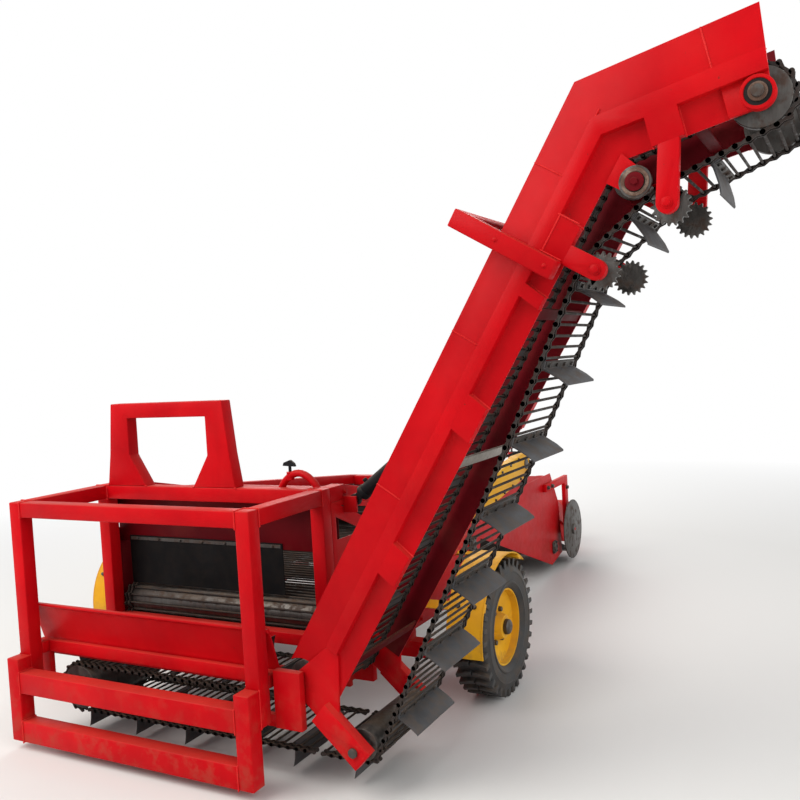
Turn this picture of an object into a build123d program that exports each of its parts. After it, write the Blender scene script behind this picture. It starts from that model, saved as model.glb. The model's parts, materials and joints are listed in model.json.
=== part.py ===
"""Towed potato harvester with a side elevator.

A share and a digging web lift the crop, a separator web cleans it and drops it on a cross
conveyor at the rear, and that conveyor's web climbs an elevator out to the right.

Origin: centre of the drawbar eye. +X forward, +Y to the machine's left, +Z up. Millimetres.
"""
import os
from math import asin, atan2, cos, degrees, hypot, pi, radians, sin
from typing import NamedTuple

from build123d import *

os.makedirs("parts", exist_ok=True)

# ---------------------------------------------------------------- driving dimensions
eye_height = 500.0          # centre of the drawbar eye above the ground
eye_lead = 5900.0           # drawbar eye ahead of the cage's rear face
body_width = 1500.0         # over the cage and the side walls
tube = 75.0                 # square tube of the cage
sheet = 6.0                 # side sheets
plate = 12.0                # bearing plates and lugs
cage_depth = 650.0
cage_top = 1230.0           # above the ground, as all heights below
cage_foot = 290.0
sill_height = 500.0         # underside of the cage's front posts
guard_depth = 80.0
guard_foot = 45.0
guard_top = 460.0
guard_rail = 105.0          # height of the guard's two rails
guard_step = 245.0          # from the lower rail's underside to the upper rail's

axle_station = 1425.0       # ahead of the cage's rear face
track = 2500.0              # between the wheels' centre planes
tyre_radius = 365.0
tyre_width = 200.0
rim_radius = 205.0
arch_gap = 30.0            # from the tyre to the mudguard
arch_sheet = 4.0
arch_width = 200.0
hub_radius = 62.0
spindle_radius = 30.0
running_gap = 0.3

band_width = 40.0           # the webs' side bands
band_thick = 12.0
rod = 10.0                  # section of a web rod
flight_pitch = 315.0
rods_per_flight = 4
flight_reach = 118.0        # a flight's height above the rods
flight_thick = 12.0

conveyor_near = 120.0       # rear face of the cross conveyor's rear sheet
conveyor_far = 665.0        # front face of its front sheet
web_margin = 30.0           # from a side sheet's outer face to the web's edge
incline = 58.2              # elevator slope
head_slope = 12.4
wall_rise = 90.0            # elevator wall above the line through the hinge
wall_height = 275.0
head_height = 322.0
incline_length = 2650.0     # from the hinge's foot to the bend, along the wall's top edge
head_length = 620.0
lift_range = 25.0           # elevator travel, in degrees

pto_radius = 17.45
pto_length = 90.0
eye_bore = 25.5
eye_thick = 32.0

ground = -eye_height
rear = -eye_lead
half = body_width / 2
web_near = conveyor_near + web_margin
web_far = conveyor_far - web_margin


# ---------------------------------------------------------------- helpers
def station(distance):
    """X of a place so far ahead of the cage's rear face."""
    return rear + distance


def level(height):
    """Z of a height above the ground."""
    return ground + height


def bar(x, y, z):
    """Add a box that fills three (low, high) spans."""
    with Locations(((x[0] + x[1]) / 2, (y[0] + y[1]) / 2, (z[0] + z[1]) / 2)):
        Box(x[1] - x[0], y[1] - y[0], z[1] - z[0])


def behind_eye(distance):
    """X of a place so far behind the drawbar eye."""
    return -distance


def side_plane(x):
    """Plane across the machine, facing forward: local x is +Y and local y is +Z."""
    return Plane(origin=(x, 0, 0), x_dir=(0, 1, 0), z_dir=(1, 0, 0))


def long_plane(y):
    """Plane along the machine, facing right: local x is +X and local y is +Z."""
    return Plane(origin=(0, y, 0), x_dir=(1, 0, 0), z_dir=(0, -1, 0))


class Pulley(NamedTuple):
    """A wheel that the web's centreline wraps, in the web's own plane."""

    across: float
    up: float
    radius: float
    turn: int               # +1 inside the loop, -1 pressing on it from outside


def wraps(pulleys):
    """Each pulley with the headings of the web that arrives and leaves, in radians."""
    headings = []
    for here, there in zip(pulleys, pulleys[1:] + pulleys[:1]):
        gap = hypot(there.across - here.across, there.up - here.up)
        bearing = atan2(there.up - here.up, there.across - here.across)
        lean = asin((here.turn * here.radius - there.turn * there.radius) / gap)
        headings.append(bearing + lean)
    rows = []
    for index, pulley in enumerate(pulleys):
        arrive, leave = headings[index - 1], headings[index]
        sweep = (pulley.turn * (leave - arrive)) % (2 * pi)
        rows.append((pulley, arrive, arrive + pulley.turn * sweep))
    return rows


def web_point(pulley, heading, outward=0.0):
    """Point of the web where it wraps a pulley at a heading, moved outward from the loop."""
    reach = pulley.turn * pulley.radius + outward
    return (pulley.across + reach * sin(heading), pulley.up - reach * cos(heading))


def web_outline(pulleys, outward):
    """Draw the closed line that runs a set distance outside the web's centreline."""
    rows = wraps(pulleys)
    for index, (pulley, arrive, leave) in enumerate(rows):
        following, next_arrive, _ = rows[(index + 1) % len(rows)]
        middle = (arrive + leave) / 2
        points = [web_point(pulley, heading, outward) for heading in (arrive, middle, leave)]
        ThreePointArc(*points)
        Line(points[-1], web_point(following, next_arrive, outward))


def web_places(pulleys, count):
    """Evenly spaced points round the web, each with its heading."""
    pieces = []
    rows = wraps(pulleys)
    for index, (pulley, arrive, leave) in enumerate(rows):
        following, next_arrive, _ = rows[(index + 1) % len(rows)]
        start, end = web_point(pulley, leave), web_point(following, next_arrive)
        pieces.append((pulley.radius * abs(leave - arrive), pulley, arrive, leave))
        pieces.append((hypot(end[0] - start[0], end[1] - start[1]), start, end, leave))
    total = sum(piece[0] for piece in pieces)
    for number in range(count):
        left = total * number / count
        for length, first, second, third in pieces:
            if left < length:
                break
            left -= length
        share = left / length
        if isinstance(first, Pulley):
            heading = second + (third - second) * share
            yield web_point(first, heading), heading
        else:
            point = tuple(a + (b - a) * share for a, b in zip(first, second))
            yield point, third


def web_length(pulleys):
    """Length of the web's centreline."""
    total = 0.0
    rows = wraps(pulleys)
    for index, (pulley, arrive, leave) in enumerate(rows):
        following, next_arrive, _ = rows[(index + 1) % len(rows)]
        start, end = web_point(pulley, leave), web_point(following, next_arrive)
        total += pulley.radius * abs(leave - arrive) + hypot(end[0] - start[0], end[1] - start[1])
    return total


def add_web(plane, pulleys, width, flights=False, keep=lambda across: True, window=None):
    """Add two side bands, the rods between them and, if asked, the flights on the rods."""
    for offset in (0.0, width - band_width):
        with BuildSketch(plane.offset(offset)) as band:
            with BuildLine():
                web_outline(pulleys, band_thick / 2)
            make_face()
            with BuildLine():
                web_outline(pulleys, -band_thick / 2)
            make_face(mode=Mode.SUBTRACT)
            if window:
                with Locations(((window[0] + window[1]) / 2, level(cage_top))):
                    Rectangle(window[1] - window[0], 3 * eye_lead, mode=Mode.INTERSECT)
        extrude(band.sketch, amount=band_width)
    flight_count = round(web_length(pulleys) / flight_pitch)
    count = flight_count * rods_per_flight
    places = [row for row in enumerate(web_places(pulleys, count)) if keep(row[1][0][0])]
    with BuildSketch(plane.offset(band_width)) as rods:
        for number, (point, heading) in places:
            with Locations(point):
                Rectangle(rod, rod, rotation=degrees(heading))
    extrude(rods.sketch, amount=width - 2 * band_width)
    if flights:
        with BuildSketch(plane.offset(band_width + plate)) as paddles:
            for number, (point, heading) in places:
                if number % rods_per_flight == 0:
                    reach = flight_reach / 2
                    middle = (point[0] + reach * sin(heading), point[1] - reach * cos(heading))
                    with Locations(middle):
                        Rectangle(flight_thick, flight_reach, rotation=degrees(heading))
        extrude(paddles.sketch, amount=width - 2 * (band_width + plate))


def finish(builder, name):
    """Label a piece and write it."""
    builder.part.label = name
    export_step(builder.part, f"parts/{name}.step")


# ---------------------------------------------------------------- where the webs run
hinge_out = 135.0           # the elevator's hinge stands out from the body's side
hinge_y, hinge_z = -half - hinge_out, level(470.0)
guide_radius = 76.0
tail_inset = 240.0
#                       across             up                radius  turn
cross_pulleys = [Pulley(half - tail_inset, level(262.0), 115.0, 1),
                 Pulley(hinge_y, hinge_z, 90.0, -1),
                 Pulley(hinge_y - 1395.0, hinge_z + 2015.0, 75.0, 1),
                 Pulley(hinge_y - 1915.0, hinge_z + 2145.0, 105.0, 1),
                 Pulley(hinge_y - 1622.0, hinge_z + 1838.0, guide_radius, -1),
                 Pulley(hinge_y - 1372.0, hinge_z + 1640.0, guide_radius, -1),
                 Pulley(hinge_y - 275.0, hinge_z - 245.0, 75.0, 1)]
tail, hold_down, bend_wheel, head_wheel, upper_guide, lower_guide, foot_wheel = cross_pulleys

# The body webs run rearward on top, so in the long plane they turn anticlockwise.
digging_pulleys = [Pulley(behind_eye(1880.0), level(205.0), 75.0, 1),
                   Pulley(station(2170.0), level(860.0), 95.0, 1)]
separator_pulleys = [Pulley(station(2330.0), level(590.0), 80.0, 1),
                     Pulley(station(732.0), level(562.0), 80.0, 1)]
body_web_width = 1330.0


def on_incline(along, above):
    """Point of the elevator's incline, from the hinge."""
    slope = radians(incline)
    return (hinge_y - along * cos(slope) + above * sin(slope),
            hinge_z + along * sin(slope) + above * cos(slope))


def bend_point(drop, head_drop):
    """Where a line below the wall's top edge on the incline meets its line on the head."""
    corner = on_incline(incline_length, wall_rise)
    low, high = radians(head_slope), radians(incline)
    skew = sin(high) * cos(low) - cos(high) * sin(low)
    across = (-drop * cos(low) + head_drop * cos(high)) / skew
    up = (-head_drop * sin(high) + drop * sin(low)) / skew
    return (corner[0] + across, corner[1] + up)


def on_head(along, drop):
    """Point of the elevator's head, from the bend's corner, below its top edge."""
    corner = on_incline(incline_length, wall_rise)
    slope = radians(head_slope)
    return (corner[0] - along * cos(slope) - drop * sin(slope),
            corner[1] + along * sin(slope) - drop * cos(slope))


def wall_band(top, bottom, start=60.0, end=head_length):
    """Outline of a strip of the elevator's wall, between shares of its height."""
    drops = [(share * wall_height, share * head_height) for share in (top, bottom)]
    return [on_incline(start, wall_rise - drops[0][0]),
            bend_point(*drops[0]),
            on_head(end - 0.12 * drops[0][1], drops[0][1]),
            on_head(end - 0.12 * drops[1][1], drops[1][1]),
            bend_point(*drops[1]),
            on_incline(start, wall_rise - drops[1][0])]


# ---------------------------------------------------------------- cage at the rear
inner = half - tube
cage_front = station(cage_depth)

with BuildPart() as cage_posts:
    for side in (-1, 1):
        y = sorted((side * half, side * inner))
        bar((rear, rear + tube), y, (level(cage_foot), level(cage_top)))
        bar((cage_front - tube, cage_front), y, (level(sill_height), level(cage_top)))
finish(cage_posts, "cage_posts")

with BuildPart() as cage_cross_bars:
    for x in (rear, cage_front - tube):
        bar((x, x + tube), (-inner, inner), (level(cage_top) - tube, level(cage_top)))
finish(cage_cross_bars, "cage_cross_bars")

with BuildPart() as cage_side_bars:
    for side in (-1, 1):
        y = sorted((side * half, side * inner))
        bar((rear + tube, cage_front - tube), y, (level(cage_top) - tube, level(cage_top)))
finish(cage_side_bars, "cage_side_bars")

with BuildPart() as guard_posts:
    for side in (-1, 1):
        y = sorted((side * half, side * (half - guard_depth)))
        bar((rear - guard_depth, rear), y, (level(guard_foot), level(guard_top)))
finish(guard_posts, "guard_posts")

with BuildPart() as guard_rails:
    for low in (guard_foot, guard_foot + guard_step):
        bar((rear - guard_depth, rear), (guard_depth - half, half - guard_depth),
            (level(low), level(low + guard_rail)))
finish(guard_rails, "guard_rails")

arch_middle = half - 535.0
arch_beam = 80.0
with BuildPart() as arch:
    with BuildSketch(side_plane(cage_front - tube)):
        #                   half-width  height above the cage
        for outline, mode in ((((443.0, 0.0), (415.0, 175.0), (387.0, 450.0)), Mode.ADD),
                              (((165.0, 0.0), (272.0, 168.0), (272.0, 450.0 - arch_beam)), Mode.SUBTRACT)):
            right = [(arch_middle - out, level(cage_top) + up) for out, up in outline]
            left = [(arch_middle + out, level(cage_top) + up) for out, up in reversed(outline)]
            with BuildLine():
                Polyline(*right, *left, close=True)
            make_face(mode=mode)
    extrude(amount=tube)
finish(arch, "arch")

# ---------------------------------------------------------------- cross conveyor in the cage
near_x = station(conveyor_near)
far_x = station(conveyor_far)
panel_top = 700.0
panel_foot = 430.0
panel_x = near_x + 54.0
with BuildPart() as slope_panel:
    with BuildSketch(long_plane(half)):
        with BuildLine():
            Polyline((rear + tube, level(panel_top)), (rear + tube + 22, level(panel_top)),
                     (rear + tube + 30, level(panel_top - 25)), (panel_x + 8, level(panel_foot)),
                     (panel_x + 8, level(panel_foot - 22)), (panel_x, level(panel_foot - 22)),
                     (panel_x, level(panel_foot)), (rear + tube + 20, level(panel_top - 24)),
                     (rear + tube, level(panel_top - 10)), close=True)
        make_face()
    extrude(amount=body_width)
finish(slope_panel, "slope_panel")

conveyor_middle = side_plane((near_x + far_x) / 2)
post_thick = 38.0
pivot_gap = 5.0             # between the fixed end posts and the elevator's hinge plates
post_x = near_x - plate - pivot_gap - post_thick
stub_radius = 20.0
post_back = 78.0            # from the hinge to the end of the conveyor's side bars
post_reach = 30.0           # the end post reaches past the hinge and past those ends

bar_depth = 28.0
upper_bar = (440.0, sill_height)        # heights of the conveyor's side bars
lower_bar = (251.0, 307.0)
bar_end = hinge_y + post_back
end_post = (275.0, 530.0)

with BuildPart() as conveyor_sides:
    near_bar = (near_x, near_x + bar_depth)
    for low, high in (upper_bar, lower_bar):
        bar(near_bar, (bar_end, half), (level(low), level(high)))
    bar(near_bar, (half - tube, half), (level(lower_bar[1]), level(upper_bar[0])))
    bar((post_x, post_x + post_thick), (hinge_y - post_reach, bar_end + post_reach),
        (level(end_post[0]), level(end_post[1])))
    for low, high in (upper_bar, (end_post[0], lower_bar[1])):
        bar((post_x + post_thick, near_x), (bar_end, bar_end + post_reach), (level(low), level(high)))
    mirror(about=conveyor_middle)
    bar((far_x - 2 * bar_depth - 9, far_x - bar_depth), (-half, half), (level(upper_bar[0]), level(upper_bar[1])))
finish(conveyor_sides, "conveyor_sides")

with BuildPart() as conveyor_mounts:
    for side in (-1, 1):
        bar((rear + tube, near_x), sorted((side * half, side * inner)),
            (level(upper_bar[0]), level(upper_bar[1])))
finish(conveyor_mounts, "conveyor_mounts")

with BuildPart() as cross_web:
    add_web(side_plane(station(web_near)), cross_pulleys, web_far - web_near, flights=True,
            keep=lambda across: across > hinge_y + 20, window=(hinge_y + 8, 3 * half))
finish(cross_web, "cross_web")

band_middle = station(web_near + band_width / 2)
disc_width = 20.0


def rim_of(pulley):
    """Radius of a wheel that the web's band runs on."""
    return pulley.radius - band_thick / 2 - running_gap


def add_roll(pulley, x, radius):
    """Add a round bar across the machine, on a pulley's axis."""
    with BuildSketch(side_plane(x[0])) as section:
        with Locations((pulley.across, pulley.up)):
            Circle(radius)
    extrude(section.sketch, amount=x[1] - x[0])


with BuildPart() as tail_roller:
    add_roll(tail, (station(web_near), station(web_far)), rim_of(tail))
    add_roll(tail, (near_x + bar_depth, far_x - bar_depth), stub_radius)
finish(tail_roller, "tail_roller")

with BuildPart() as hold_down_discs:
    add_roll(hold_down, (post_x + post_thick, band_middle + disc_width / 2), stub_radius)
    add_roll(hold_down, (band_middle - disc_width / 2, band_middle + disc_width / 2),
             rim_of(hold_down))
    mirror(about=conveyor_middle)
finish(hold_down_discs, "hold_down_discs")

# ---------------------------------------------------------------- elevator
rail_proud = 35.0
rail_top, rail_foot = 0.47, 0.68    # shares of the wall's height
cut_radius = 108.0                  # clears the hold-down discs' rim
bearing_radius = 55.0
shaft_radius = 20.0
arm_thick = 50.0            # foot arms that carry the foot wheel
pin_radius = 12.0
lift_along, lift_above = 1500.0, 50.0
cylinder_x = station(794.0)
eye_width = 28.0
lift_point = on_incline(lift_along, lift_above)


def add_wall(sheet_x, rail_x):
    """Add a wall's sheet and the square rail along its outer face, each from its rear face."""
    with BuildSketch(side_plane(sheet_x)) as skin:
        with BuildLine():
            Polyline(*wall_band(0, 1), close=True)
        make_face()
        with Locations((hinge_y, hinge_z)):
            Circle(cut_radius, mode=Mode.SUBTRACT)
        with Locations((head_wheel.across, head_wheel.up)):
            Circle(shaft_radius + running_gap, mode=Mode.SUBTRACT)
    extrude(skin.sketch, amount=sheet)
    with BuildSketch(side_plane(rail_x)) as rail:
        with BuildLine():
            Polyline(*wall_band(rail_top, rail_foot, start=240.0), close=True)
        make_face()
    extrude(rail.sketch, amount=rail_proud)
    with BuildSketch(side_plane(rail_x)) as covers:
        for start, end in incline_covers:
            with BuildLine():
                Polyline(*[on_incline(along, wall_rise - share * wall_height)
                           for along, share in ((start, rail_foot), (end, rail_foot), (end - 12, 1), (start - 12, 1))],
                         close=True)
            make_face()
        with BuildLine():
            Polyline(*[on_head(along, share * head_height) for along, share in
                       ((head_cover[0], rail_foot), (head_cover[1], rail_foot),
                        (head_cover[1], 1), (head_cover[0], 1))], close=True)
        make_face()
    extrude(covers.sketch, amount=rail_proud)


#                 where the blocks that join the rail to the wall's foot start and end
incline_covers = ((667.0, 812.0), (1347.0, 1497.0), (1912.0, 1962.0), (2092.0, 2232.0))
head_cover = (197.0, 307.0)

with BuildPart() as elevator_near_wall:
    add_wall(near_x, near_x - rail_proud)
finish(elevator_near_wall, "elevator_near_wall")

with BuildPart() as elevator_far_wall:
    add_wall(far_x - sheet, far_x)
    with BuildSketch(side_plane(far_x)):
        with Locations(lift_point):
            Circle(30.0)
    extrude(amount=cylinder_x - eye_width / 2 - 10 - far_x)
finish(elevator_far_wall, "elevator_far_wall")

tie_width, tie_thick = 45.0, 10.0
with BuildPart() as elevator_ties:
    with BuildSketch(side_plane(near_x + sheet)):
        for along in (250.0, 1880.0):
            with Locations(on_incline(along, wall_rise - wall_height + tie_thick)):
                Rectangle(tie_width, tie_thick, rotation=-incline)
        with Locations(on_head(340.0, head_height - tie_thick - 30)):
            Rectangle(tie_width, tie_thick, rotation=-head_slope)
    extrude(amount=far_x - near_x - 2 * sheet)
finish(elevator_ties, "elevator_ties")

with BuildPart() as middle_tie:
    with BuildSketch(side_plane(near_x + sheet)):
        with Locations(on_incline(1232.0, wall_rise - wall_height + tie_thick)):
            Rectangle(tie_width, tie_thick, rotation=-incline)
    extrude(amount=far_x - near_x - 2 * sheet)
finish(middle_tie, "middle_tie")

with BuildPart() as elevator_web:
    add_web(side_plane(station(web_near)), cross_pulleys, web_far - web_near, flights=True,
            keep=lambda across: across < hinge_y - 20, window=(-6 * half, hinge_y - 8))
finish(elevator_web, "elevator_web")

idler = Pulley(hinge_y - 1519.0, hinge_z + 1922.0, shaft_radius, 1)
idler_flange, idler_plate = 56.0, 10.0
with BuildPart() as elevator_rollers:
    add_roll(foot_wheel, (station(web_near), station(web_far)), rim_of(foot_wheel))
    add_roll(foot_wheel, (near_x - arm_thick - 12, far_x + arm_thick + 12), shaft_radius)
    for pulley in (bend_wheel, head_wheel):
        add_roll(pulley, (band_middle - disc_width, band_middle + disc_width), rim_of(pulley))
    add_roll(idler, (near_x - idler_plate - 14, near_x - idler_plate), idler_flange)
    add_roll(idler, (near_x - idler_plate - 26, near_x - idler_plate - 14), shaft_radius + 12)
    mirror(about=conveyor_middle)
    add_roll(bend_wheel, (near_x + sheet, far_x - sheet), shaft_radius)
    add_roll(head_wheel, (near_x - 60, far_x + 60), shaft_radius)
    add_roll(idler, (near_x - idler_plate, far_x + idler_plate), shaft_radius)
finish(elevator_rollers, "elevator_rollers")

bearing_from = 445.0        # the bearing's plate runs from here to the wall's end
with BuildPart() as head_bearings:
    with BuildSketch(side_plane(near_x - plate)):
        with BuildLine():
            Polyline(*[on_head(along, drop) for drop in (rail_foot * head_height, head_height)
                       for along in sorted((bearing_from, head_length - 0.12 * drop), reverse=drop == head_height)],
                     close=True)
        make_face()
    extrude(amount=plate)
    add_roll(head_wheel, (near_x - rail_proud, near_x), bearing_radius)
    with BuildSketch(side_plane(near_x - rail_proud)):
        with Locations((head_wheel.across, head_wheel.up)):
            Circle(shaft_radius + running_gap)
    extrude(amount=rail_proud, mode=Mode.SUBTRACT)
    mirror(about=conveyor_middle)
finish(head_bearings, "head_bearings")

arm_width = 105.0
arm_from, arm_past = 150.0, 55.0    # the arm starts so far from the hinge and ends past the foot wheel
arm_slope = atan2(foot_wheel.up - hinge_z, foot_wheel.across - hinge_y)


def on_arm(along, aside):
    """Point of the foot arm, from the hinge towards the foot wheel."""
    return (hinge_y + along * cos(arm_slope) - aside * sin(arm_slope),
            hinge_z + along * sin(arm_slope) + aside * cos(arm_slope))


arm_reach = hypot(foot_wheel.across - hinge_y, foot_wheel.up - hinge_z)
with BuildPart() as foot_brackets:
    with BuildSketch(side_plane(near_x - plate)):
        with Locations((hinge_y, hinge_z), on_incline(190.0, -70.0), on_arm(arm_from + 45, 0)):
            Circle(45.0)
        make_hull()
        with Locations((hinge_y, hinge_z)):
            Circle(stub_radius + running_gap, mode=Mode.SUBTRACT)
    extrude(amount=plate)
    with BuildSketch(side_plane(near_x - arm_thick)):
        with BuildLine():
            Polyline(on_arm(arm_from, arm_width / 2), on_arm(arm_reach + arm_past, arm_width / 2),
                     on_arm(arm_reach + arm_past, -arm_width / 2), on_arm(arm_from, -arm_width / 2),
                     close=True)
        make_face()
        with Locations((foot_wheel.across, foot_wheel.up)):
            Circle(shaft_radius + running_gap, mode=Mode.SUBTRACT)
    extrude(amount=arm_thick)
    mirror(about=conveyor_middle)
finish(foot_brackets, "foot_brackets")

lower_along = (lower_guide.up - hinge_z) * sin(radians(incline)) \
    - (lower_guide.across - hinge_y) * cos(radians(incline))
hoop_along = lower_along - 65.0
hoop_tube = 70.0
hoop_rise = 165.0           # above the wall's top edge
hoop_x = near_x - rail_proud - 60.0
with BuildPart() as elevator_hoop:
    with BuildSketch(side_plane(hoop_x)):
        with BuildLine():
            Polyline(on_incline(hoop_along - hoop_tube / 2, wall_rise + hoop_rise),
                     on_incline(hoop_along + hoop_tube / 2, wall_rise + hoop_rise),
                     on_incline(hoop_along + hoop_tube / 2, wall_rise - wall_height),
                     on_incline(hoop_along - hoop_tube / 2, wall_rise - wall_height), close=True)
        make_face()
    extrude(amount=60.0)
    mirror(about=conveyor_middle)
    with BuildSketch(side_plane(hoop_x)):
        with BuildLine():
            Polyline(on_incline(hoop_along - hoop_tube / 2, wall_rise + hoop_rise),
                     on_incline(hoop_along + hoop_tube / 2, wall_rise + hoop_rise),
                     on_incline(hoop_along + hoop_tube / 2, wall_rise + hoop_rise - 60),
                     on_incline(hoop_along - hoop_tube / 2, wall_rise + hoop_rise - 60), close=True)
        make_face()
    extrude(amount=far_x - near_x + 2 * (rail_proud + 60.0))
finish(elevator_hoop, "elevator_hoop")

wall_foot = wall_rise - wall_height
#            guide        the ends of its hanger's seat                             end radius, thickness
hangers = ((lower_guide, [on_incline(lower_along + shift, wall_foot) for shift in (-37, 37)], 37.0, rail_proud),
           (upper_guide, [on_head(along, head_height) for along in (217, 289)], 36.0, rail_proud),
           (idler, [on_incline(along, wall_foot) for along in (2390, 2500)], idler_flange - 12, idler_plate))
with BuildPart() as return_brackets:
    for pin, foot, radius, thickness in hangers:
        with BuildSketch(side_plane(near_x - thickness)):
            with BuildLine():
                Polyline(*foot, (pin.across, pin.up), close=True)
            make_face()
            with Locations((pin.across, pin.up)):
                Circle(radius)
            make_hull()
            with Locations((pin.across, pin.up)):
                Circle((shaft_radius if pin is idler else pin_radius) + running_gap, mode=Mode.SUBTRACT)
        extrude(amount=thickness)
    mirror(about=conveyor_middle)
finish(return_brackets, "return_brackets")

teeth = 18
with BuildPart() as return_sprockets:
    for guide in (upper_guide, lower_guide):
        tip = rim_of(guide)
        with BuildSketch(side_plane(band_middle - disc_width / 2)):
            with Locations((guide.across, guide.up)):
                Circle(tip - 12)
                with PolarLocations(tip - 7, teeth):
                    Trapezoid(15.0, 14.0, 68.0, rotation=-90)
        extrude(amount=disc_width)
        add_roll(guide, (near_x - rail_proud - 8, band_middle), pin_radius)
    mirror(about=conveyor_middle)
finish(return_sprockets, "return_sprockets")

# ---------------------------------------------------------------- elevator's lift cylinder
lift_base = (-half - 55.0, level(1150.0))
barrel_radius, bore_radius, piston_rod = 35.0, 22.0, 17.0
lift_run = Vector(0, lift_point[0] - lift_base[0], lift_point[1] - lift_base[1])
lift_dir = lift_run.normalized()
lift_origin = Vector(cylinder_x, *lift_base)
lift_end = Vector(cylinder_x, *lift_point)


def along_lift(distance):
    """Plane square to the lift cylinder, so far from its base pin."""
    return Plane(origin=lift_origin + lift_dir * distance, x_dir=(1, 0, 0), z_dir=lift_dir)


def add_eye(centre, radius, width):
    """Add the blank of an eye whose pin lies along the machine."""
    with BuildSketch(side_plane(centre.X - width / 2)) as blank:
        with Locations((centre.Y, centre.Z)):
            Circle(radius)
    extrude(blank.sketch, amount=width)


def bore_eye(centre, radius, width):
    """Bore an eye through."""
    with BuildSketch(side_plane(centre.X - width / 2)) as hole:
        with Locations((centre.Y, centre.Z)):
            Circle(radius)
    extrude(hole.sketch, amount=width, mode=Mode.SUBTRACT)


barrel_start, barrel_end = 50.0, 760.0
with BuildPart() as lift_barrel:
    with BuildSketch(along_lift(barrel_start)):
        Circle(barrel_radius)
    extrude(amount=barrel_end - barrel_start)
    with BuildSketch(along_lift(barrel_start + 30)):
        Circle(bore_radius)
    extrude(amount=barrel_end - barrel_start - 60, mode=Mode.SUBTRACT)
    with BuildSketch(along_lift(barrel_end - 30)):
        Circle(piston_rod + running_gap)
    extrude(amount=30, mode=Mode.SUBTRACT)
    add_eye(lift_origin, 30.0, eye_width)
    with BuildSketch(along_lift(25.0)):
        Rectangle(eye_width, 40.0)
    extrude(amount=barrel_start - 25.0)
    bore_eye(lift_origin, pin_radius + running_gap, eye_width)
finish(lift_barrel, "lift_barrel")

with BuildPart() as lift_rod:
    with BuildSketch(along_lift(330.0)):
        Circle(piston_rod)
    extrude(amount=lift_run.length - 330.0 - 25.0)
    add_eye(lift_end, 30.0, eye_width)
    add_eye(lift_end, pin_radius, eye_width + 10)
finish(lift_rod, "lift_rod")

with BuildPart() as lift_bracket:
    bracket_x = cylinder_x - eye_width / 2 - 5 - plate
    bar((bracket_x, bracket_x + plate), (lift_base[0] - 22, -half),
        (lift_base[1] - 60, lift_base[1] + 22))
    with BuildSketch(side_plane(bracket_x + plate)):
        with Locations(lift_base):
            Circle(pin_radius)
    extrude(amount=eye_width + 10)
finish(lift_bracket, "lift_bracket")

# ---------------------------------------------------------------- body
rail_end = behind_eye(2600.0)
front_top = 900.0
rail_line = [(cage_front, level(cage_top)), (station(780.0), level(cage_top)),
             (station(1250.0), level(1124.0)), (rail_end, level(front_top))]
rail_underside = [(x, z - tube) for x, z in rail_line]
with BuildPart() as top_rails:
    for side in (-1, 1):
        with BuildSketch(long_plane(side * half + (tube if side < 0 else 0))):
            with BuildLine():
                Polyline(*rail_line, *reversed(rail_underside), close=True)
            make_face()
        extrude(amount=tube)
finish(top_rails, "top_rails")

low_rail = 360.0
with BuildPart() as low_rails:
    for side in (-1, 1):
        y = sorted((side * half, side * inner))
        bar((station(730), station(2500)), y, (level(low_rail - tube), level(low_rail)))
finish(low_rails, "low_rails")

window_foot, window_top = 965.0, 1130.0
window_start, window_end, window_brace, window_fall = 40.0, 350.0, 50.0, 50.0
with BuildPart() as body_walls:
    low, high = level(window_foot), level(window_top)
    start, end = cage_front + window_start, cage_front + window_end
    for side in (-1, 1):
        with BuildSketch(long_plane(side * half + (sheet if side < 0 else 0))):
            with BuildLine():
                Polyline(*rail_underside, (behind_eye(1900.0), level(front_top - tube)),
                         (behind_eye(1720.0), level(560)), (behind_eye(1670.0), level(120)),
                         (behind_eye(1950.0), level(70)), (station(2480), level(600)),
                         (station(2400), level(low_rail)), (station(730), level(low_rail)),
                         (station(690), level(sill_height)), (cage_front, level(sill_height)),
                         close=True)
            make_face()
            for corners in (((start, low), (end - window_brace, low), (start, high - window_brace)),
                            ((end, high - window_fall), (start + window_brace, high), (end, low + window_brace))):
                with BuildLine():
                    Polyline(*corners, close=True)
                make_face(mode=Mode.SUBTRACT)
        extrude(amount=sheet)
finish(body_walls, "body_walls")

with BuildPart() as cross_beams:
    for x, top in ((rail_end - tube, front_top), (station(axle_station) - tube / 2, 1103.0)):
        bar((x, x + tube), (-inner, inner), (level(top) - tube, level(top)))
finish(cross_beams, "cross_beams")

curtain_foot = 655.0
with BuildPart() as curtain_bar:
    bar((station(715), station(755)), (sheet - half, half - sheet), (level(890), level(930)))
    bar((station(715), station(721)), (sheet - half, half - sheet), (level(930), level(1150)))
finish(curtain_bar, "curtain_bar")

with BuildPart() as curtain:
    bar((station(706), station(715)), (350 - half, half - 90), (level(curtain_foot), level(925)))
finish(curtain, "curtain")

for name, pulleys in (("separator_web", separator_pulleys), ("digging_web", digging_pulleys)):
    with BuildPart() as body_web:
        add_web(long_plane(body_web_width / 2), pulleys, body_web_width)
    finish(body_web, name)

with BuildPart() as web_rollers:
    for pulley in separator_pulleys + digging_pulleys:
        for radius, width in ((rim_of(pulley), body_web_width), (shaft_radius, body_width - 2 * sheet)):
            with BuildSketch(long_plane(width / 2)):
                with Locations((pulley.across, pulley.up)):
                    Circle(radius)
            extrude(amount=width)
finish(web_rollers, "web_rollers")

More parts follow.
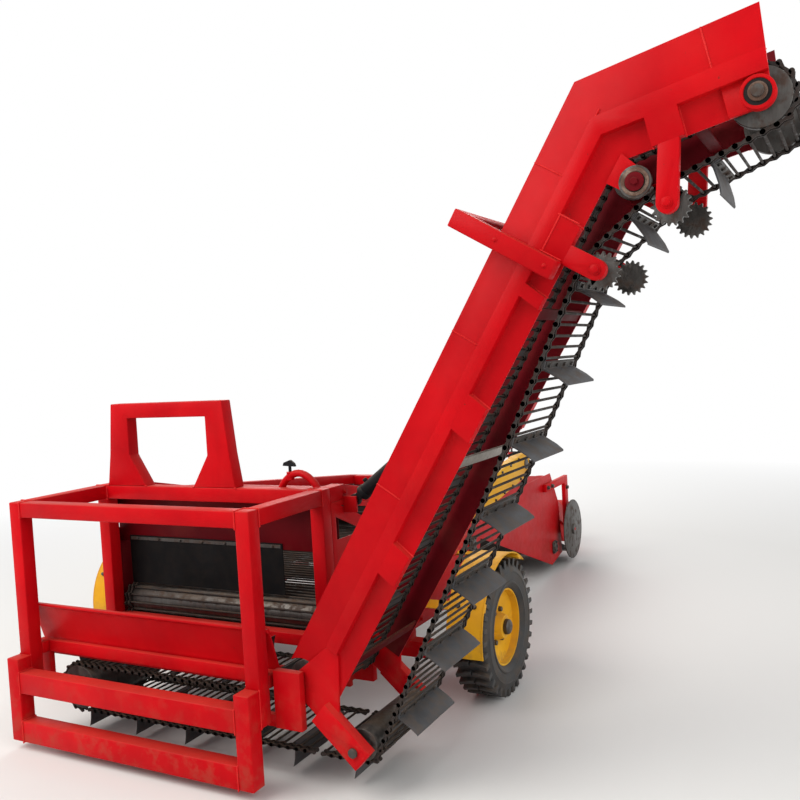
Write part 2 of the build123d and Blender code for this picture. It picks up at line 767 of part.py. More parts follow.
share_width = body_width - 2 * sheet
share_heel, share_tip = behind_eye(1790.0), behind_eye(1340.0)
with BuildPart() as share:
    with BuildSketch(long_plane(share_width / 2)):
        with BuildLine():
            Polyline((share_heel, level(236)), (share_tip, level(70)), (share_tip + 15, level(52)),
                     (share_tip - 40, level(58)), (share_heel, level(222)), close=True)
        make_face()
    extrude(amount=share_width)
    share_teeth = 6
    with BuildSketch(Plane.XY.offset(ground)):
        with Locations(*[(share_tip + 40, share_width * (n / share_teeth - 0.5))
                        for n in range(share_teeth + 1)]):
            Rectangle(230, 130, rotation=45)
    extrude(amount=400, mode=Mode.SUBTRACT)
finish(share, "share")

# ---------------------------------------------------------------- running gear
axle_x = station(axle_station)
axle_z = level(tyre_radius)
beam_size = 90.0
beam_z = level(150.0)
spindle_reach = 75.0        # spindle beyond the wheel's centre plane
upright_gap = 130.0         # from the wheel's centre plane to the upright's face

with BuildPart() as axle_beam:
    beam_x = (axle_x - beam_size / 2, axle_x + beam_size / 2)
    end = track / 2 - upright_gap
    bar(beam_x, (-end, end), (beam_z, beam_z + beam_size))
    for side in (-1, 1):
        bar(beam_x, sorted((side * end, side * (end - beam_size))), (beam_z, axle_z + beam_size / 2))
        with BuildSketch(long_plane(side * end)):
            with Locations((axle_x, axle_z)):
                Circle(spindle_radius)
        extrude(amount=-side * (upright_gap + spindle_reach))
        bar(beam_x, sorted((side * half, side * inner)), (beam_z + beam_size, level(low_rail - tube)))
finish(axle_beam, "axle_beam")

half_tyre = tyre_width / 2
bead = 26.0
for side, name in ((1, "left"), (-1, "right")):
    wheel_y = side * track / 2
    wheel_axis = Axis((axle_x, wheel_y, axle_z), (0, 1, 0))
    with BuildPart() as tyre:
        with BuildSketch(Plane(origin=(axle_x, wheel_y, axle_z), x_dir=(0, 1, 0), z_dir=(1, 0, 0))):
            with BuildLine():
                Polyline((bead - half_tyre, rim_radius), (-half_tyre, rim_radius + 60),
                         (-half_tyre, tyre_radius - 50), (26 - half_tyre, tyre_radius - 7),
                         (-32, tyre_radius), (32, tyre_radius), (half_tyre - 26, tyre_radius - 7),
                         (half_tyre, tyre_radius - 50), (half_tyre, rim_radius + 60),
                         (half_tyre - bead, rim_radius), close=True)
            make_face()
        revolve(axis=wheel_axis)
    finish(tyre, f"{name}_tyre")

    with BuildPart() as rim:
        with BuildSketch(Plane(origin=(axle_x, wheel_y, axle_z), x_dir=(0, side, 0), z_dir=(1, 0, 0))):
            with BuildLine():
                Polyline((bead - half_tyre, rim_radius), (bead - half_tyre, rim_radius - 10),
                         (8, rim_radius - 10), (20, rim_radius - 34), (6, 112.0), (6, hub_radius + 16),
                         (-62, hub_radius), (-62, spindle_radius + running_gap),
                         (70, spindle_radius + running_gap), (70, hub_radius), (18, hub_radius + 16),
                         (18, 114.0), (32, rim_radius - 34), (34, rim_radius - 10),
                         (half_tyre - bead, rim_radius - 10), (half_tyre - bead, rim_radius), close=True)
            make_face()
        revolve(axis=wheel_axis)
    finish(rim, f"{name}_rim")

guard_inner = tyre_radius + arch_gap
guard_tail, guard_nose = -8.0, 128.0    # from level behind the wheel, round over its top
with BuildPart() as mudguards:
    for side in (-1, 1):
        middle = side * track / 2
        with BuildSketch(long_plane(middle + arch_width / 2)) as section:
            with BuildLine():
                for radius in (guard_inner, guard_inner + arch_sheet):
                    CenterArc((axle_x, axle_z), radius, 180 - guard_tail, guard_tail - guard_nose)
                for turn in (180 - guard_tail, 180 - guard_nose):
                    Line(*[(axle_x + radius * cos(radians(turn)), axle_z + radius * sin(radians(turn)))
                           for radius in (guard_inner, guard_inner + arch_sheet)])
            make_face()
        extrude(section.sketch, amount=arch_width)
        for turn in (150.0, 62.0):
            spot = Vector(axle_x + (guard_inner - 8) * cos(radians(turn)),
                          middle - side * arch_width / 2,
                          axle_z + (guard_inner - 8) * sin(radians(turn)))
            with BuildSketch(Plane(origin=(spot.X, side * half, spot.Z),
                                   x_dir=(cos(radians(turn)), 0, sin(radians(turn))),
                                   z_dir=(0, side, 0))) as strut:
                Rectangle(18, 44)
            extrude(strut.sketch, amount=side * (spot.Y - side * half) + arch_width)
finish(mudguards, "mudguards")

# ---------------------------------------------------------------- drawbar, jack and drive
tongue = 120.0
tongue_z = level(front_top) - tube / 2
tongue_end = -140.0
with BuildPart() as drawbar:
    foot = Vector(rail_end, 0, tongue_z)
    tip = Vector(tongue_end, 0, 0)
    with BuildSketch(Plane(origin=foot, x_dir=(0, 1, 0), z_dir=(1, 0, 0))):
        Rectangle(tongue, tube)
    with BuildSketch(Plane(origin=tip, x_dir=(0, 1, 0), z_dir=(1, 0, 0))):
        Rectangle(tongue, tube)
    loft(ruled=True)
    for side in (-1, 1):
        with BuildSketch(Plane(origin=foot + Vector(0, side * (half - 150), 0), x_dir=(0, 1, 0),
                               z_dir=(1, 0, 0))):
            Rectangle(90, tube)
        with BuildSketch(Plane(origin=foot + (tip - foot) * 0.6, x_dir=(0, 1, 0),
                               z_dir=(1, 0, 0))):
            Rectangle(90, tube)
        loft(ruled=True)
    bar((tongue_end, -40), (-30, 30), (-eye_thick / 2, eye_thick / 2))
    with BuildSketch(Plane.XY.offset(-eye_thick / 2)):
        Circle(55)
    extrude(amount=eye_thick)
    with BuildSketch(Plane.XY.offset(-eye_thick / 2)):
        Circle(eye_bore)
    extrude(amount=eye_thick, mode=Mode.SUBTRACT)
finish(drawbar, "drawbar")

jack_x, jack_y = -480.0, 118.0
jack_outer, jack_inner = 60.0, 46.0
with BuildPart() as jack_sleeve:
    with BuildSketch(Plane.XY.offset(-190.0)):
        with Locations((jack_x, jack_y)):
            Rectangle(jack_outer, jack_outer)
            Rectangle(jack_inner + 1, jack_inner + 1, mode=Mode.SUBTRACT)
    extrude(amount=520.0)
    bar((jack_x - 30, jack_x + 30), (tongue / 2, jack_y - jack_outer / 2), (25, 75))
finish(jack_sleeve, "jack_sleeve")

with BuildPart() as jack_leg:
    bar((jack_x - jack_inner / 2, jack_x + jack_inner / 2),
        (jack_y - jack_inner / 2, jack_y + jack_inner / 2), (ground + 12, 40))
    with BuildSketch(Plane.XY.offset(ground)):
        with Locations((jack_x, jack_y)):
            RectangleRounded(180, 180, 25)
    extrude(amount=12)
finish(jack_leg, "jack_leg")

gear_x, gear_y, gear_z = rail_end - 170, -300.0, level(front_top)
with BuildPart() as gearbox:
    bar((gear_x, gear_x + 170), (gear_y - 90, gear_y + 90), (gear_z, gear_z + 210))
    fillet(gearbox.edges().filter_by(Axis.Z), 25)
    with BuildSketch(side_plane(gear_x + 170)):
        with Locations((gear_y, gear_z + 110)):
            Circle(55)
    extrude(amount=40)
    with BuildSketch(side_plane(gear_x + 210)):
        with Locations((gear_y, gear_z + 110)):
            Circle(pto_radius)
    extrude(amount=pto_length)
finish(gearbox, "gearbox")

drive_x, drive_z = gear_x + 85, gear_z + 110
case_y = -half - 12
with BuildPart() as drive_shaft:
    with BuildSketch(long_plane(gear_y - 90)):
        with Locations((drive_x, drive_z)):
            Circle(22)
    extrude(amount=gear_y - 90 - case_y)
finish(drive_shaft, "drive_shaft")

with BuildPart() as drive_case:
    with BuildSketch(long_plane(case_y)):
        with Locations((drive_x, drive_z), (digging_pulleys[1].across, digging_pulleys[1].up)):
            Circle(90)
        make_hull()
    extrude(amount=70)
    for x in (digging_pulleys[1].across + 230, drive_x - 315):
        bar((x, x + 60), (case_y, -half), (level(885), level(915)))
finish(drive_case, "drive_case")

# ---------------------------------------------------------------- digging tools
coulter_radius, coulter_x, coulter_y = 250.0, behind_eye(1570.0), half + 70.0
coulter_z = level(300.0)
with BuildPart() as coulter_arms:
    for side in (-1, 1):
        y = sorted((side * half, side * (half + 30)))
        bar((coulter_x - 40, coulter_x + 40), y, (coulter_z - 40, level(760)))
        bar((coulter_x - 530, coulter_x + 40), y, (level(700), level(760)))
        with BuildSketch(long_plane(-side * (half + 30))):
            with Locations((coulter_x, coulter_z)):
                Circle(pin_radius)
        extrude(amount=side * 62)
finish(coulter_arms, "coulter_arms")

for side, name in ((1, "left"), (-1, "right")):
    with BuildPart() as coulter:
        with BuildSketch(long_plane(side * coulter_y + 4)):
            with Locations((coulter_x, coulter_z)):
                Circle(coulter_radius)
        extrude(amount=8)
        with BuildSketch(long_plane(side * coulter_y + 20)):
            with Locations((coulter_x, coulter_z)):
                Circle(45)
        extrude(amount=40)
        with BuildSketch(long_plane(side * coulter_y + 20)):
            with Locations((coulter_x, coulter_z)):
                Circle(pin_radius + running_gap)
        extrude(amount=40, mode=Mode.SUBTRACT)
    finish(coulter, f"{name}_coulter")

roller_x, roller_z, roller_radius, roller_half = behind_eye(1040.0), level(260.0), 190.0, half - 150.0
with BuildPart() as depth_roller:
    with BuildSketch(long_plane(roller_half)):
        with Locations((roller_x, roller_z)):
            Circle(roller_radius)
    extrude(amount=2 * roller_half)
    with BuildSketch(long_plane(roller_half + 40)):
        with Locations((roller_x, roller_z)):
            Circle(25)
    extrude(amount=2 * roller_half + 80)
finish(depth_roller, "depth_roller")

arm_x = roller_x - 960.0
with BuildPart() as roller_arms:
    for side in (-1, 1):
        with BuildSketch(long_plane(side * (roller_half + 20) + (12 if side > 0 else 0))):
            with BuildLine():
                Polyline((roller_x - 50, roller_z - 50), (roller_x + 50, roller_z - 50),
                         (roller_x + 50, roller_z + 60), (arm_x + 100, level(760)),
                         (arm_x, level(760)), (arm_x, level(640)), close=True)
            make_face()
            with Locations((roller_x, roller_z)):
                Circle(25 + running_gap, mode=Mode.SUBTRACT)
        extrude(amount=12)
    bar((arm_x - 20, arm_x + 60), (-half + sheet, half - sheet), (level(640), level(715)))
finish(roller_arms, "roller_arms")
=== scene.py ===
"""Looks of a towed potato harvester with rod webs and a steep side elevator.

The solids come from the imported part. Here they get eased edges, enamel, steel and rubber, hooked
rod webs, welds and bolts, treaded tyres, a hanging curtain, and a plain studio. Metres,
+X forward, +Y to the machine's left, +Z up, from the centre of the drawbar eye.
"""

import json
import logging
from collections.abc import Callable, Sequence
from dataclasses import dataclass
from enum import Enum
from functools import cache
from math import asin, atan2, cos, hypot, pi, radians, sin
from typing import Any, NamedTuple

import bmesh
import bpy
from mathutils import Matrix, Vector

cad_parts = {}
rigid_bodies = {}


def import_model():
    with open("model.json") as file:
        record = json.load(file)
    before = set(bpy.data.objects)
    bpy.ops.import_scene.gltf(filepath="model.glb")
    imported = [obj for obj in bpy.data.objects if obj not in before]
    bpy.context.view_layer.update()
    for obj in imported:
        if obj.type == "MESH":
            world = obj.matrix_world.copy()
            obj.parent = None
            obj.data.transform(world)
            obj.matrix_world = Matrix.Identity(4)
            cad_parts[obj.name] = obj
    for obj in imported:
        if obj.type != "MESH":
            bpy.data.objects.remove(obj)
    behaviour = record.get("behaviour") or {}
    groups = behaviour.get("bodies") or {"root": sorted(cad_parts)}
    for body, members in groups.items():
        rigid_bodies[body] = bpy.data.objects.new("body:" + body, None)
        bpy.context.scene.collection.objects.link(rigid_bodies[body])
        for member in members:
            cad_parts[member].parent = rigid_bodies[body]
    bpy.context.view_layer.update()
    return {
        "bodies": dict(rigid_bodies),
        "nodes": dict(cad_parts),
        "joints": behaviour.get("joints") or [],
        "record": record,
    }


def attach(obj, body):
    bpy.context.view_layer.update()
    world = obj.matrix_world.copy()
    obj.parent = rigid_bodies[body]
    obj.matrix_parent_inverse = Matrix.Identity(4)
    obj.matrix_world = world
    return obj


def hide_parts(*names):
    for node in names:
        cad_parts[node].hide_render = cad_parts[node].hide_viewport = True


LOG = logging.getLogger("harvester")
SMOOTH_ANGLE = radians(34)          # shading is sharp across steeper edges than this
BEVEL_ANGLE = radians(30)           # edges steeper than this are rounded over
FLAT_ANGLE = radians(0.6)           # faces closer to level than this become one
MERGE_DISTANCE = 2e-5
INWARD = 0.3                        # least share of a normal that counts as looking inwards
SEAM_GAP = 0.001                    # from a tube's face to the weld round it
SCATTER_SEED, WELD_SEED = 7, 3
GROUND = -0.5                       # height of the ground
REAR = -5.9                         # the cage's rear face
HALF = 0.75                         # half the width of the cage and the body
NEAR, FAR = 0.120, 0.665            # stations of the elevator's two walls
INCLINE = radians(58.2)             # slope of the elevator

Colour = tuple[float, float, float]
Flat = tuple[float, float]
Piece = bpy.types.Object

# The elevator's wheels: across and up from its hinge.
BEND_WHEEL: Flat = (-1.395, 2.015)
HEAD_WHEEL: Flat = (-1.915, 2.145)
IDLER: Flat = (-1.519, 1.922)
HIGH_GUIDE: Flat = (-1.622, 1.838)
LOW_GUIDE: Flat = (-1.372, 1.640)
FOOT_WHEEL: Flat = (-0.275, -0.245)


class Shaft(NamedTuple):
    """A shaft across the body, with the radius of the web's centreline round it."""

    x: float
    height: float
    radius: float


SHAFTS = {"digging_foot": Shaft(-1.880, 0.205, 0.075), "digging_head": Shaft(-3.730, 0.860, 0.095),
          "separator_head": Shaft(-3.570, 0.590, 0.080), "separator_tail": Shaft(-5.168, 0.562, 0.080)}


def station(distance: float) -> float:
    """X of a place so far ahead of the cage's rear face."""
    return REAR + distance


def level(height: float) -> float:
    """Z of a height above the ground."""
    return GROUND + height


def linear(red: int, green: int, blue: int) -> Colour:
    """Linear colour from the eight-bit values that a screen shows."""
    return tuple((value / 255 / 12.92) if value <= 10 else ((value / 255 + 0.055) / 1.055) ** 2.4
                 for value in (red, green, blue))


def polar(radius: float, turn: float) -> Flat:
    """Point at a radius and a turn."""
    return (radius * cos(turn), radius * sin(turn))


def link(name: str, data: Any) -> Piece:
    """Make an object of some data and link it to the scene."""
    made = bpy.data.objects.new(name, data)
    bpy.context.scene.collection.objects.link(made)
    return made


# ------------------------------------------------------------------------------------- finishes
class Nodes:
    """A node tree, built a node at a time."""

    def __init__(self, tree: bpy.types.NodeTree) -> None:
        """Take the tree to build in."""
        self.tree = tree

    def add(self, kind: str, values: dict[str | int, Any] | None = None, **settings: Any) -> Any:
        """Add a node.

        Args:
            kind: The node's type.
            values: Its inputs, each a socket to link or a value to set.
            **settings: Its own properties.

        Returns:
            The node.
        """
        node = self.tree.nodes.new(kind)
        for key, value in settings.items():
            setattr(node, key, value)
        for key, value in (values or {}).items():
            self.feed(node.inputs[key], value)
        return node

    def feed(self, socket: Any, value: Any) -> None:
        """Link a socket to an input, or set the input's value."""
        if isinstance(value, bpy.types.NodeSocket):
            self.tree.links.new(value, socket)
        else:
            socket.default_value = value


class Shader(Nodes):
    """One material's node tree."""

    def __init__(self, name: str) -> None:
        """Start a material with its shader and its object coordinates."""
        self.material = bpy.data.materials.new(name)
        self.material.use_nodes = True
        super().__init__(self.material.node_tree)
        self.base = self.tree.nodes["Principled BSDF"]
        self.place = self.add("ShaderNodeTexCoord").outputs["Object"]

    def noise(self, scale: float, detail: float = 4.0, stretch: Sequence[float] = (1, 1, 1),
              shift: float = 0.0) -> Any:
        """Cloudy pattern on the object's own coordinates.

        Args:
            scale: Clouds per metre.
            detail: Finer layers.
            stretch: Scale along each axis.
            shift: Moves the pattern, so that two layers differ.

        Returns:
            The pattern's socket, about 0 to 1.
        """
        spot = self.add("ShaderNodeMapping", {"Vector": self.place, "Scale": tuple(stretch),
                                              "Location": (shift, shift * 0.7, -shift)})
        return self.add("ShaderNodeTexNoise", {"Vector": spot.outputs[0], "Scale": scale,
                                               "Detail": detail, "Roughness": 0.6}).outputs["Fac"]

    def span(self, value: Any, low: float, high: float, start: float = 0.0, end: float = 1.0) -> Any:
        """Spread a value's span from low to high over start to end, held at both ends."""
        return self.add("ShaderNodeMapRange", {"Value": value, "From Min": low, "From Max": high,
                                               "To Min": start, "To Max": end}).outputs[0]

    def join(self, operation: str, first: Any, second: Any) -> Any:
        """Combine two numbers."""
        return self.add("ShaderNodeMath", {0: first, 1: second}, operation=operation,
                        use_clamp=True).outputs[0]

    def blend(self, share: Any, first: Any, second: Any) -> Any:
        """Mix two colours by a share of the second."""
        colours = [value if isinstance(value, bpy.types.NodeSocket) else (*value, 1.0)
                   for value in (first, second)]
        return self.add("ShaderNodeMix", {0: share, 6: colours[0], 7: colours[1]},
                        data_type="RGBA").outputs[2]

    def facing(self) -> Any:
        """How far the surface faces up."""
        normal = self.add("ShaderNodeNewGeometry").outputs["Normal"]
        return self.add("ShaderNodeSeparateXYZ", {0: normal}).outputs["Z"]

    def height(self) -> Any:
        """Height of the surface."""
        return self.add("ShaderNodeSeparateXYZ", {0: self.place}).outputs["Z"]

    def bump(self, layers: Sequence[tuple[Any, float]]) -> None:
        """Lay relief on the surface, each layer a pattern and its height in metres."""
        normal = None
        for pattern, height in layers:
            values = {"Height": pattern, "Distance": height, "Strength": 1.0}
            if normal is not None:
                values["Normal"] = normal
            normal = self.add("ShaderNodeBump", values).outputs[0]
        self.feed(self.base.inputs["Normal"], normal)

    def finish(self, colour: Any, roughness: Any, metal: Any = 0.0, coat: float = 0.0,
               specular: float = 0.5) -> Any:
        """Set the surface's main values and return the material."""
        solid = colour if isinstance(colour, bpy.types.NodeSocket) else (*colour, 1.0)
        for name, value in (("Base Color", solid), ("Roughness", roughness), ("Metallic", metal),
                            ("Specular IOR Level", specular), ("Coat Weight", coat),
                            ("Coat Roughness", 0.18)):
            self.feed(self.base.inputs[name], value)
        return self.material


SOIL = linear(126, 103, 80)
DARK_SOIL = linear(58, 44, 34)


@dataclass(frozen=True)
class Enamel:
    """Sprayed enamel on fabricated steel, dusty on top and splashed with soil low down."""

    name: str
    colour: Colour
    deep: Colour
    slot: str
    dust: float = 0.5
    soil: float = 0.5
    gloss: float = 0.38

    def material(self) -> bpy.types.Material:
        """Build the material."""
        shader = Shader(self.name)
        cloud = shader.noise(1.7, 5)
        fine = shader.noise(23, 6, shift=3.1)
        grain = shader.noise(160, 3, shift=1.3)
        paint = shader.blend(shader.span(cloud, 0.35, 0.72), self.colour, self.deep)
        streak = shader.noise(9, 6, (1, 1, 0.12), 5.0)
        paint = shader.blend(shader.span(streak, 0.56, 0.78, 0, 0.35), paint, self.deep)
        up = shader.span(shader.facing(), 0.25, 0.95)
        dust = shader.join("MULTIPLY", shader.span(fine, 0.35, 0.75, 0.15, self.dust), up)
        film = shader.span(shader.noise(4, 7, shift=9), 0.5, 0.85, 0, 0.22 * self.dust)
        low = shader.span(shader.height(), 0.05, GROUND)
        splash = shader.join("MULTIPLY", shader.span(shader.noise(14, 8, shift=7), 0.47, 0.62, 0,
                                                     self.soil), low)
        cover = shader.join("MAXIMUM", shader.join("ADD", dust, film), splash)
        colour = shader.blend(cover, paint, SOIL)
        chip = shader.join("MULTIPLY", shader.span(shader.noise(46, 3, shift=2), 0.735, 0.755),
                           shader.span(shader.noise(3.1, 2, shift=8), 0.5, 0.6))
        colour = shader.blend(chip, colour, DARK_SOIL)
        rough = shader.join("ADD", shader.span(cover, 0, 0.6, self.gloss, 0.8),
                            shader.span(fine, 0.3, 0.8, 0, 0.12))
        shader.bump([(shader.noise(2.6, 2, shift=4), 0.006), (grain, 0.00025), (splash, 0.0009)])
        return shader.finish(colour, rough, coat=0.015, specular=0.07)


@dataclass(frozen=True)
class BareSteel:
    """Unpainted steel that soil has worn, with rust where it hasn't."""

    name: str
    colour: Colour
    rust: Colour
    slot: str
    worn: float = 0.5
    roughness: float = 0.42

    def material(self) -> bpy.types.Material:
        """Build the material."""
        shader = Shader(self.name)
        patch = shader.noise(21, 8)
        spots = shader.noise(140, 5, shift=2.0)
        rusty = shader.span(patch, self.worn, self.worn + 0.14)
        rusty = shader.join("MAXIMUM", rusty, shader.span(spots, 0.62, 0.7, 0, 0.8))
        metal = shader.blend(shader.span(shader.noise(60, 4, (1, 1, 0.2), 6), 0.3, 0.75), self.colour,
                             tuple(value * 0.62 for value in self.colour))
        colour = shader.blend(rusty, metal, self.rust)
        up = shader.span(shader.facing(), 0.35, 1.0, 0, 0.5)
        dust = shader.join("MULTIPLY", up, shader.span(shader.noise(11, 6, shift=4), 0.35, 0.7))
        colour = shader.blend(dust, colour, SOIL)
        rough = shader.join("ADD", shader.span(rusty, 0, 1, self.roughness, 0.85), dust)
        shader.bump([(patch, 0.0008), (spots, 0.0004)])
        return shader.finish(colour, rough, shader.span(rusty, 0, 1, 0.9, 0.1))


@dataclass(frozen=True)
class Rubber:
    """Black rubber gone grey with dust."""

    name: str
    colour: Colour
    slot: str
    dust: float = 0.35
    sheen: float = 0.4

    def material(self) -> bpy.types.Material:
        """Build the material."""
        shader = Shader(self.name)
        cloud = shader.noise(6, 7)
        grain = shader.noise(210, 4, shift=2)
        colour = shader.blend(shader.span(cloud, 0.35, 0.7), self.colour,
                              tuple(value * 1.9 for value in self.colour))
        up = shader.span(shader.facing(), -0.2, 1.0, 0.35, 1.0)
        dust = shader.join("MULTIPLY", shader.span(shader.noise(17, 8, shift=5), 0.42, 0.72, 0,
                                                   self.dust), up)
        colour = shader.blend(dust, colour, SOIL)
        shader.bump([(grain, 0.0003), (cloud, 0.001)])
        return shader.finish(colour, shader.span(dust, 0, 0.4, 0.55, 0.9), specular=self.sheen)


class Finish(Enum):
    """Every finish on the machine."""

    RED = Enamel("red_enamel", linear(200, 9, 19), linear(166, 4, 14), "red_paint", 0.2, 0.26)
    # Painted highlight: the welds' lighter red stands in for the light that the beads catch.
    SEAM = Enamel("seam_enamel", linear(218, 44, 44), linear(198, 20, 26), "red_paint", 0.2, 0.2)
    # Painted shade: a darker red that stands in for the shade on inner faces and on parts that sit in shade.
    # Its slot name says dark red paint, but the darkness is painted shade.
    SHADED_RED = Enamel("inner_red_enamel", linear(104, 8, 18), linear(66, 7, 14), "dark_red_paint",
                        0.45, 0.5, 0.5)
    YELLOW = Enamel("yellow_enamel", linear(232, 176, 40), linear(206, 142, 26), "yellow_paint",
                    0.5, 0.6)
    BLACK = Enamel("black_enamel", linear(34, 34, 36), linear(22, 22, 24), "black_paint", 0.4, 0.5)
    WORN = BareSteel("worn_steel", linear(90, 87, 84), linear(66, 51, 42), "worn_steel", 0.5)
    WEB = BareSteel("web_steel", linear(64, 61, 59), linear(44, 33, 27), "web_rubber", 0.38, 0.5)
    BRIGHT = BareSteel("bright_steel", linear(196, 196, 194), linear(120, 92, 70), "steel", 0.66, 0.3)
    GALVANIZED = BareSteel("grey_tie_steel", linear(176, 170, 162), linear(124, 104, 88), "worn_steel",
                           0.58, 0.5)
    RING = BareSteel("ring_steel", linear(140, 120, 106), linear(94, 68, 54), "worn_steel", 0.42, 0.5)
    FLIGHT = Rubber("flight_rubber", linear(46, 46, 48), "web_rubber", 0.38)
    CURTAIN = Rubber("curtain_rubber", linear(11, 11, 12), "black_rubber", 0.06, sheen=0.1)
    TYRE = Rubber("tyre_rubber", linear(34, 34, 34), "tyre", 0.42)


@cache
def material_of(finish: Finish) -> bpy.types.Material:
    """The material of a finish, built the first time it is asked for."""
    return finish.value.material()


# ---------------------------------------------------------------------------------------- forms
def side_frame(x: float) -> Matrix:
    """Frame across the machine: local x is +Y, local y is +Z and local z is +X."""
    return Matrix(((0, 0, 1, x), (1, 0, 0, 0), (0, 1, 0, 0), (0, 0, 0, 1)))


def long_frame(y: float) -> Matrix:
    """Frame along the machine: local x is +X, local y is +Z and local z is -Y."""
    return Matrix(((1, 0, 0, 0), (0, 0, -1, y), (0, 1, 0, 0), (0, 0, 0, 1)))


def plan_frame(z: float) -> Matrix:
    """Frame lying flat at a height, facing up."""
    return Matrix.Translation((0, 0, z))


def aim_frame(origin: Sequence[float], aim: Sequence[float], side: Sequence[float] = (0, 0, 1)) -> Matrix:
    """Frame at a point whose local z runs along aim and whose local x leans towards side."""
    forward = Vector(aim).normalized()
    across = Vector(side)
    across -= forward * across.dot(forward)
    if across.length < 1e-6:
        across = forward.orthogonal()
    across.normalize()
    third = forward.cross(across)
    frame = Matrix((across, third, forward)).transposed().to_4x4()
    frame.translation = Vector(origin)
    return frame


class Form:
    """A mesh in the making, in the part's own frame."""

    def __init__(self) -> None:
        """Start an empty mesh."""
        self.mesh = bmesh.new()

    def prism(self, frame: Matrix, outline: Sequence[Flat], depth: float) -> "Form":
        """Add a straight block on an outline.

        Args:
            frame: Where the outline lies.
            outline: Its corners.
            depth: How far it runs along the frame's z.

        Returns:
            The form itself.
        """
        rings = [[self.mesh.verts.new(frame @ Vector((x, y, z))) for x, y in outline] for z in (0, depth)]
        self.cap(rings)
        self.skin(rings)
        return self

    def cap(self, rings: Sequence[Sequence[Any]]) -> None:
        """Close the first and the last of a run of rings."""
        self.mesh.faces.new(rings[0])
        self.mesh.faces.new(reversed(rings[-1]))

    def skin(self, rings: Sequence[Sequence[Any]], closed: bool = False) -> None:
        """Join neighbouring rings of vertices with four-sided faces."""
        pairs = list(zip(rings, rings[1:]))
        if closed:
            pairs.append((rings[-1], rings[0]))
        for first, second in pairs:
            for index in range(len(first)):
                following = (index + 1) % len(first)
                self.mesh.faces.new((first[index], first[following], second[following], second[index]))

    def box(self, low: Sequence[float], high: Sequence[float]) -> "Form":
        """Add a block between two corners."""
        outline = [(low[0], low[1]), (high[0], low[1]), (high[0], high[1]), (low[0], high[1])]
        return self.prism(plan_frame(low[2]), outline, high[2] - low[2])

    def circle(self, frame: Matrix, radius: float, sides: int, along: float = 0.0) -> list[Any]:
        """Add the vertices of a circle round a frame's z, so far along it."""
        return [self.mesh.verts.new(frame @ Vector((*polar(radius, 2 * pi * n / sides), along)))
                for n in range(sides)]

    def lathe(self, frame: Matrix, profile: Sequence[Flat], sides: int = 24, ring: bool = False) -> "Form":
        """Add a turned shape.

        Args:
            frame: Its axis is the frame's z.
            profile: Its (along the axis, radius) corners.
            sides: Flats round it.
            ring: True for a closed profile that stays off the axis.

        Returns:
            The form itself.
        """
        rings = [self.circle(frame, radius, sides, along) for along, radius in profile]
        self.skin(rings, closed=ring)
        if not ring:
            self.cap(rings)
        return self

    def rod(self, start: Sequence[float], end: Sequence[float], radius: float, sides: int = 12) -> "Form":
        """Add a round bar with eased ends."""
        run = Vector(end) - Vector(start)
        cut = min(radius * 0.25, run.length * 0.2)
        return self.lathe(aim_frame(start, run, run.orthogonal()),
                          [(0, radius - cut), (cut, radius), (run.length - cut, radius),
                           (run.length, radius - cut)], sides)

    def tube(self, path: Sequence[Sequence[float]], radius: float, sides: int = 10) -> "Form":
        """Add a bent round bar along a path of points."""
        points = [Vector(point) for point in path]
        side = (points[1] - points[0]).orthogonal()
        rings = []
        for index, point in enumerate(points):
            run = points[min(index + 1, len(points) - 1)] - points[max(index - 1, 0)]
            frame = aim_frame(point, run, side)
            side = frame.col[0].to_3d()
            rings.append(self.circle(frame, radius, sides))
        self.skin(rings)
        self.cap(rings)
        return self

    def object(self, name: str) -> Piece:
        """Close the mesh, turn its faces out and link it as an object."""
        bmesh.ops.recalc_face_normals(self.mesh, faces=self.mesh.faces)
        data = bpy.data.meshes.new(name)
        self.mesh.to_mesh(data)
        self.mesh.free()
        return link(name, data)


def baked(made: Piece) -> bpy.types.Mesh:
    """The plain mesh that an object's modifiers make."""
    bpy.context.view_layer.update()
    graph = bpy.context.evaluated_depsgraph_get()
    return bpy.data.meshes.new_from_object(made.evaluated_get(graph), depsgraph=graph)


def settle(made: Piece) -> Piece:
    """Turn an object's live modifiers into its own plain mesh, shaded smooth but for its edges."""
    if made.modifiers:
        data = baked(made)
        made.modifiers.clear()
        made.data = data
    data = made.data
    data.polygons.foreach_set("use_smooth", [True] * len(data.polygons))
    data.set_sharp_from_angle(angle=SMOOTH_ANGLE)
    return made


def ease(made: Piece, width: float, segments: int = 2) -> Piece:
    """Round an object's sharp edges over and keep its flats flat."""
    bevel = made.modifiers.new("eased", "BEVEL")
    bevel.width = width
    bevel.segments = segments
    bevel.limit_method = "ANGLE"
    bevel.angle_limit = BEVEL_ANGLE
    bevel.harden_normals = False
    return settle(made)


def publish(made: Piece, body: str, finish: Finish, replaces: Sequence[str] = ()) -> Piece:
    """Finish a piece and set it on its body.

    Args:
        made: The piece.
        body: The body that it moves with.
        finish: What it is made of.
        replaces: The solids that it stands for.

    Returns:
        The piece.
    """
    made.data.materials.clear()
    made.data.materials.append(material_of(finish))
    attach(made, body)
    if replaces:
        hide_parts(*replaces)
    LOG.info("%s: %d faces on %s", made.name, len(made.data.polygons), body)
    return made


def make(name: str, form: Form, body: str, finish: Finish, easing: float | None = None,
         segments: int = 1) -> Piece:
    """Make a piece of a form.

    Args:
        name: The piece's name.
        form: Its shape.
        body: The body that it moves with.
        finish: What it is made of.
        easing: Width of its eased edges, 0 to smooth it only, None to leave it faceted.
        segments: Facets across each eased edge.

    Returns:
        The piece.
    """
    made = form.object(name)
    if easing:
        ease(made, easing, segments)
    elif easing is not None:
        settle(made)
    return publish(made, body, finish)


